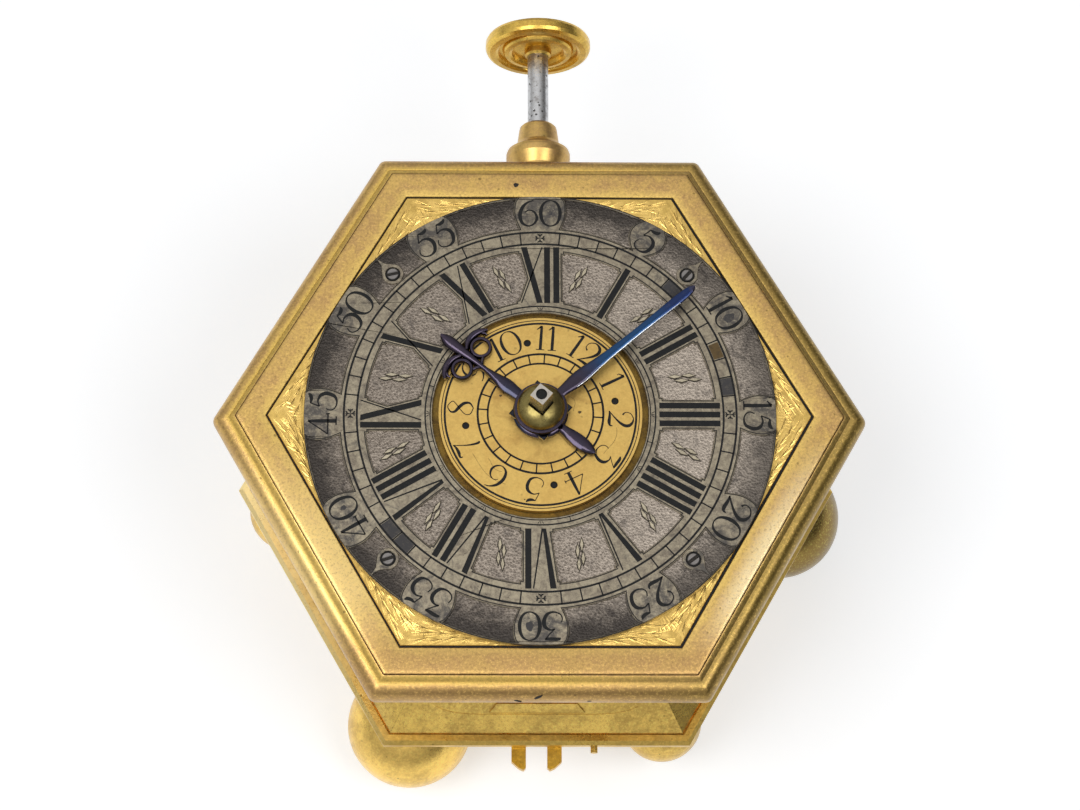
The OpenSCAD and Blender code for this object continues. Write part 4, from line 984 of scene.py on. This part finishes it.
def make_alarm_figures():
    ink_and_shade, scratches = Solid(), Solid()
    low, high = DISC_TOP - 0.06, DISC_TOP + INLAY
    for radius, width in ALARM_LINES:
        ring_line(ink_and_shade, radius, width, low, high)
    for k in range(24):
        radial_line(ink_and_shade, ALARM_ANGLE + 15 * k, ALARM_IN, ALARM_OUT, ALARM_TICK, low, high)
    for k in range(12):
        write_figures(ink_and_shade, str(k or 12), ALARM_ANGLE + 30 * k, HOURS_BASE, HOURS_HIGH,
                      HOURS_THIN, HOURS_THICK, low, high, HOURS_GAP)
    for r, start, end in SCRATCHES:
        path = [polar(r + 0.35 * math.sin(0.4 * i), start + (end - start) * i / 12) for i in range(13)]
        scratches.ribbon(path, [0.035] * 13, low, high, 0.5)
    for r, angle, size in SPOTS:
        spot = (*polar(r, angle), DISC_TOP)
        dent(scratches, spot, (1, 0.3, 0), size, size * 0.8, 0.02, (0, 0, 1))
    # Painted shade: a dark disc sunk in each of the alarm disc's four holes
    for k in range(4):
        hole = moved(circle(HOLE_R, 24), polar(HOLE_AT, HOLE_TURN + 90 * k))
        ink_and_shade.plate(hole, DISC_TOP - 0.5, DISC_TOP - 0.35)
    ink_and_shade.make("alarm_disc_figures_and_shade", WAX_AND_SHADE, "alarm_dial", "gilt_brass")
    scratches.make("alarm_disc_scratches", BROWNED, "alarm_dial", "gilt_brass")


# Screws of the chapter ring

SCREW_R = 1.13
SCREW_TURNS = {45: 48, 135: 38, 225: 18, 315: 12}


def make_screws():
    """Four cheese heads, each with its slot turned its own way."""
    heads, slot_shade = Solid(), Solid()
    low = RING_GROUND - 0.1
    turns = [math.radians(t) for t in range(12, 169, 6)]
    half = [(SCREW_R * math.cos(t), SCREW_R * math.sin(t)) for t in turns]
    for angle, turn in SCREW_TURNS.items():
        at = polar(SCREW_AT, angle)
        for side in (0, 180):
            heads.plate(moved(swung(half, -turn + side), at), low, RING_TOP + 0.18, chamfer=0.12)
        # Painted shade: a dark disc under each head shows in its slot
        slot_shade.plate(moved(circle(SEAT_IN, 32), at), low, RING_TOP - 0.15)
    heads.make("chapter_ring_screw_heads", STEEL_SCREW, "case", "steel", "chapter_ring_screws", sharp=30)
    slot_shade.make("chapter_ring_screw_slot_shade", ENGRAVED_AND_SHADE, "case", "steel")


# Hands: their outlines are (distance from the axis, half-width)

HOUR_STEM = [(4.6, 1.2), (6.3, 1.3), (7.8, 1.48), (8.8, 1.42), (10.2, 1.1), (11.8, 0.74), (13.3, 0.52),
             (14.6, 0.58), (16.4, 0.72), (18.2, 0.95), (20.0, 1.12), (21.6, 1.25), (22.6, 1.16),
             (23.5, 0.82), (24.1, 0.45), (24.4, 0.1)]
HOUR_TAIL = [(-4.6, 0.85), (-6.2, 1.05), (-7.6, 1.32), (-9.0, 1.45), (-10.4, 1.42), (-11.6, 1.15),
             (-12.5, 0.75), (-13.0, 0.38), (-13.17, 0.1)]
HOUR_BORE, WASHER_HALF = 3.15, 4.25
SCROLL_AT, SCROLL_R = (2.8, 16.8), 1.78
LANCE = [(4.4, 0.95), (6.0, 1.1), (8.0, 1.4), (9.7, 1.5), (11.5, 1.4), (14.0, 1.12), (17.1, 0.92),
         (21.0, 0.81), (24.5, 0.78), (28.0, 0.84), (31.0, 0.93), (34.0, 0.98), (36.2, 0.9), (37.4, 0.74),
         (38.1, 0.5), (38.45, 0.1)]
DOME = [(4.4, 0.0), (4.5, 0.12), (4.5, 0.4), (4.4, 0.85), (4.15, 1.35), (3.75, 1.8), (3.25, 2.15),
        (2.75, 2.42)]
SQUARE_HOLE = [(1.82, 2.66), (1.72, 2.6), (1.72, 1.6), (1.72, 0.0)]
BORE_R, BORE_TOP = 1.03, 92.4
ROUND = 64


def ring_loop(radius, z):
    return [(*polar(radius, 360 * i / ROUND), z) for i in range(ROUND)]


def square_loop(half, angle, z):
    """A square sampled at the same bearings as a circle."""
    points = []
    for i in range(ROUND):
        t = math.radians(360 * i / ROUND - angle)
        points.append((*polar(half / max(abs(math.cos(t)), abs(math.sin(t))), 360 * i / ROUND), z))
    return points


def bar(solid, outline, angle, low, top, crown):
    solid.ribbon(swung([(0, s) for s, _ in outline], angle), [w for _, w in outline], low, top, crown)


def make_hour_hand():
    hand, washer = Solid(), Solid()
    low, top = HOUR_LOW, HOUR_TOP
    hub = [(HOUR_BORE, low), (5.2, low), (5.25, low + 0.35), (4.95, top - 0.1), (4.5, top), (HOUR_BORE, top)]
    hand.loft([ring_loop(r, z) for r, z in hub], round_again=True)
    corners = [(x * WASHER_HALF, y * WASHER_HALF) for x, y in SQUARE]
    washer.plate(swung(corners, HOUR_ANGLE), top - 0.05, top + 0.6, [circle(HOUR_BORE, 48)], 0.16)
    bar(hand, HOUR_STEM, HOUR_ANGLE, low, top + 0.25, 0.8)
    bar(hand, HOUR_TAIL, HOUR_ANGLE, low, top + 0.2, 0.8)
    for side in (-1, 1):
        scroll = moved(circle(SCROLL_R, 36), (side * SCROLL_AT[0], SCROLL_AT[1]))
        hand.ribbon(swung(scroll, HOUR_ANGLE), [0.42] * 36, low, top + 0.1, 0.8, closed=True)
        fin = smooth_path([(side * 0.8, 18.7, 0.35), (side * 2.3, 19.5, 0.62), (side * 4.0, 19.55, 0.72),
                           (side * 5.4, 18.95, 0.58), (side * 6.35, 18.05, 0.3)], 5)
        hand.ribbon(swung([p[:2] for p in fin], HOUR_ANGLE), [p[2] for p in fin], low, top + 0.08, 0.75)
        spur = [(side * 5.3, 18.6), (side * 5.55, 18.0), (side * 5.5, 17.5)]
        hand.ribbon(swung(spur, HOUR_ANGLE), [0.4, 0.3, 0.12], low, top, 0.7)
        root = smooth_path([(side * 0.3, 14.5), (side * 0.8, 14.9), (side * 1.5, 15.2)], 4)
        hand.ribbon(swung(root, HOUR_ANGLE), [0.38] * len(root), low, top, 0.7)
    washer.make("hour_hand_washer", BLUE_DARK, "hour", "blued_steel", sharp=40)
    hand.make("hour_hand_blued", BLUE_HOUR, "hour", "blued_steel", "hour_hand", sharp=40)


def make_minute_hand():
    hand, edge = Solid(), Solid()
    low, top = MINUTE_LOW, MINUTE_TOP
    hub = [(2.2, low), (5.0, low), (5.1, low + 0.25), (4.95, top - 0.08), (4.6, top), (2.2, top)]
    hand.loft([ring_loop(r, z) for r, z in hub], round_again=True)
    bar(hand, LANCE, MINUTE_ANGLE, low, top, 0.6)
    # A bright steel strip on the clockwise edge: partly bluing gone with wear, partly a painted highlight
    # where the edge catches the light
    wear_and_glint_path = [(0.84 * w, s) for s, w in LANCE if 7.0 < s < 35.0]
    thick = [0.04 + 0.09 * math.sin(math.pi * (i + 0.3) / len(wear_and_glint_path)) for i in range(len(wear_and_glint_path))]
    edge.ribbon(swung(wear_and_glint_path, MINUTE_ANGLE), thick, low + 0.2, top - 0.1, 0.4)
    hand.make("minute_hand_blued", BLUE_MINUTE, "minute", "blued_steel", "minute_hand", sharp=40)
    edge.make("minute_hand_wear_and_glint_edge", STEEL_EDGE_WEAR_AND_GLINT, "minute", "blued_steel", sharp=40)


def make_collet():
    """Domed collet with its square hole, and a dark disc on the setting square above it as painted shade of
    the hole in its top.
    """
    loops = [ring_loop(r, COLLET_LOW + z) for r, z in DOME]
    loops += [square_loop(half, HOUR_ANGLE, COLLET_LOW + z) for half, z in SQUARE_HOLE]
    collet, bore_shade = Solid(), Solid()
    collet.loft(loops, round_again=True)
    # Painted shade: a dark disc for the hole in the square's top
    bore_shade.plate(circle(BORE_R, 32), BORE_TOP - 0.2, BORE_TOP)
    bore_shade.make("setting_square_bore_shade", WAX_AND_SHADE, "minute", "steel")
    collet.make("hand_collet_dome", BRASS_COLLET, "minute", "gilt_brass", "hand_collet", sharp=40)


# Spring of the plunger

SPRING_TURNS, SPRING_R, WIRE_R = 8, 2.35, 0.36


def make_plunger_spring():
    """A coil round the rod, as long as the CAD spring, that rides with the plunger."""
    low, high = (Vector(corner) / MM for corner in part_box("plunger_spring"))
    middle, long = 0.5 * (low.z + high.z), high.y - low.y
    steps = 24 * SPRING_TURNS
    loops = []
    for i in range(steps + 1):
        turn = 2 * math.pi * SPRING_TURNS * i / steps
        out = Vector((math.cos(turn), 0.0, math.sin(turn)))
        centre = SPRING_R * out + Vector((0.0, low.y + WIRE_R + (long - 2 * WIRE_R) * i / steps, middle))
        loops.append([tuple(centre + y * out + Vector((0.0, x, 0.0))) for x, y in circle(WIRE_R, 8)])
    coil = Solid()
    coil.loft(loops)
    spring = coil.make("plunger_spring_coil", STEEL, "plunger", "steel", "plunger_spring", sharp=60)
    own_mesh(spring)


# Looks of the CAD nodes that stay: by the record's slot, or a node's own

SLOT_LOOKS = {"gilt_brass": GILT, "brass": BRASS, "silvered": SILVER, "blued_steel": BLUE_HOUR,
              "steel": STEEL, "window_glass": GLASS}
NODE_LOOKS = {"base_moulding": GILT_BASE, "catch_plate": GILT_BASE,
              "base_plate": GILT_RIM, "opening_nib": GILT_RIM,
              "ball_feet": GILT_BALL, "corner_knobs": GILT_BALL,
              "catch_lever_left": GILT_CATCH, "catch_lever_right": GILT_CATCH,
              "plunger_button": GILT_BUTTON, "plunger_rod": STEEL_ROD, "alarm_disc": GILT_DISC,
              "cannon_pinion": STEEL_SQUARE, "balance_spring": BLUE_HOUR}


def dress_nodes():
    for row in frame["record"]["subparts"]:
        look = NODE_LOOKS.get(row["node"], SLOT_LOOKS[row["material_slot"]])
        for slot in frame["nodes"][row["node"]].material_slots:
            slot.material = look


# Studio

EYE = (-8.593, -154.806, 539.112)
ELEVATION, AZIMUTH, ROLL = 71.082, -3.11, 3.126
FOCAL_MM, SENSOR_MM = 85.396, 36.0
FLOOR_HALF = 3.0
FLOOR_COLOR, WHITE = (0.82, 0.84, 0.865), (1.0, 1.0, 1.0, 1.0)
FLOOR_GLOW, FAR_GLOW = 0.46, 0.35
FAR_START, FAR_END = 350.0, 1200.0
AIM = (0, 0, 0.06)


def make_camera():
    lens = bpy.data.cameras.new("camera")
    lens.lens, lens.sensor_width, lens.sensor_fit = FOCAL_MM, SENSOR_MM, "HORIZONTAL"
    lens.clip_start, lens.clip_end = 0.01, 20.0
    place = Matrix.Translation(Vector(EYE) * MM)
    for angle, axis in ((AZIMUTH, "Z"), (90.0 - ELEVATION, "X"), (ROLL, "Z")):
        place @= Matrix.Rotation(math.radians(angle), 4, axis)
    camera = bpy.data.objects.new("camera", lens)
    camera.matrix_world = place
    bpy.context.scene.collection.objects.link(camera)
    bpy.context.scene.camera = camera


def make_world():
    """Light from above and the left; white where the camera sees it."""
    world = bpy.data.worlds.new("studio")
    world.use_nodes = True
    bpy.context.scene.world = world
    n = Nodes(world.node_tree)
    way = n.node("SeparateXYZ", {0: n.node("TexCoord").outputs["Generated"]}).outputs
    sky = n.times(n.span(way["X"], 0.0, 0.8, 1.0, 0.3), n.span(way["Z"], 0.05, 0.85, 0.45, 1.0))
    background = n.tree.nodes["Background"]
    n.feed(background.inputs["Color"], n.math("MAXIMUM", sky, n.camera_ray()))
    n.feed(background.inputs["Strength"], n.times(n.seen(), 0.6, 0.4))


def make_floor():
    """A pale floor that glows for the camera, more so far from the lamps, and keeps the shadow."""
    s = Shader("floor", FLOOR_COLOR, 0.0, 0.9, Specular_IOR_Level=0.1, Emission_Color=WHITE)
    far = s.times(s.span(s.part("R"), FAR_START, FAR_END, 0.0, FAR_GLOW), s.camera_ray())
    mesh = bpy.data.meshes.new("floor")
    mesh.from_pydata([(x * FLOOR_HALF, y * FLOOR_HALF, 0) for x, y in SQUARE], [], [(0, 1, 2, 3)])
    mesh.materials.append(s.set(Emission_Strength=s.times(s.seen(), FLOOR_GLOW, far)))
    floor = bpy.data.objects.new("floor", mesh)
    bpy.context.scene.collection.objects.link(floor)


def add_light(name, place, size, watts):
    lamp = bpy.data.lights.new(name, "AREA")
    lamp.shape, lamp.size, lamp.energy = "DISK", size, watts
    light = bpy.data.objects.new(name, lamp)
    light.location = place
    light.rotation_euler = (Vector(AIM) - Vector(place)).to_track_quat("-Z", "Y").to_euler()
    bpy.context.scene.collection.objects.link(light)


def make_studio():
    bpy.context.scene.view_settings.view_transform = "Standard"
    make_camera()
    make_world()
    make_floor()
    add_light("key", (-0.4, -0.22, 1.0), 0.5, 3.2)
    add_light("fill", (0.44, -0.27, 0.95), 0.5, 2.8)


make_studio()
dress_nodes()
make_bezel()
make_dial_plate()
make_chapter_ring()
make_screws()
make_alarm_figures()
make_hour_hand()
make_minute_hand()
make_collet()
make_plunger_spring()
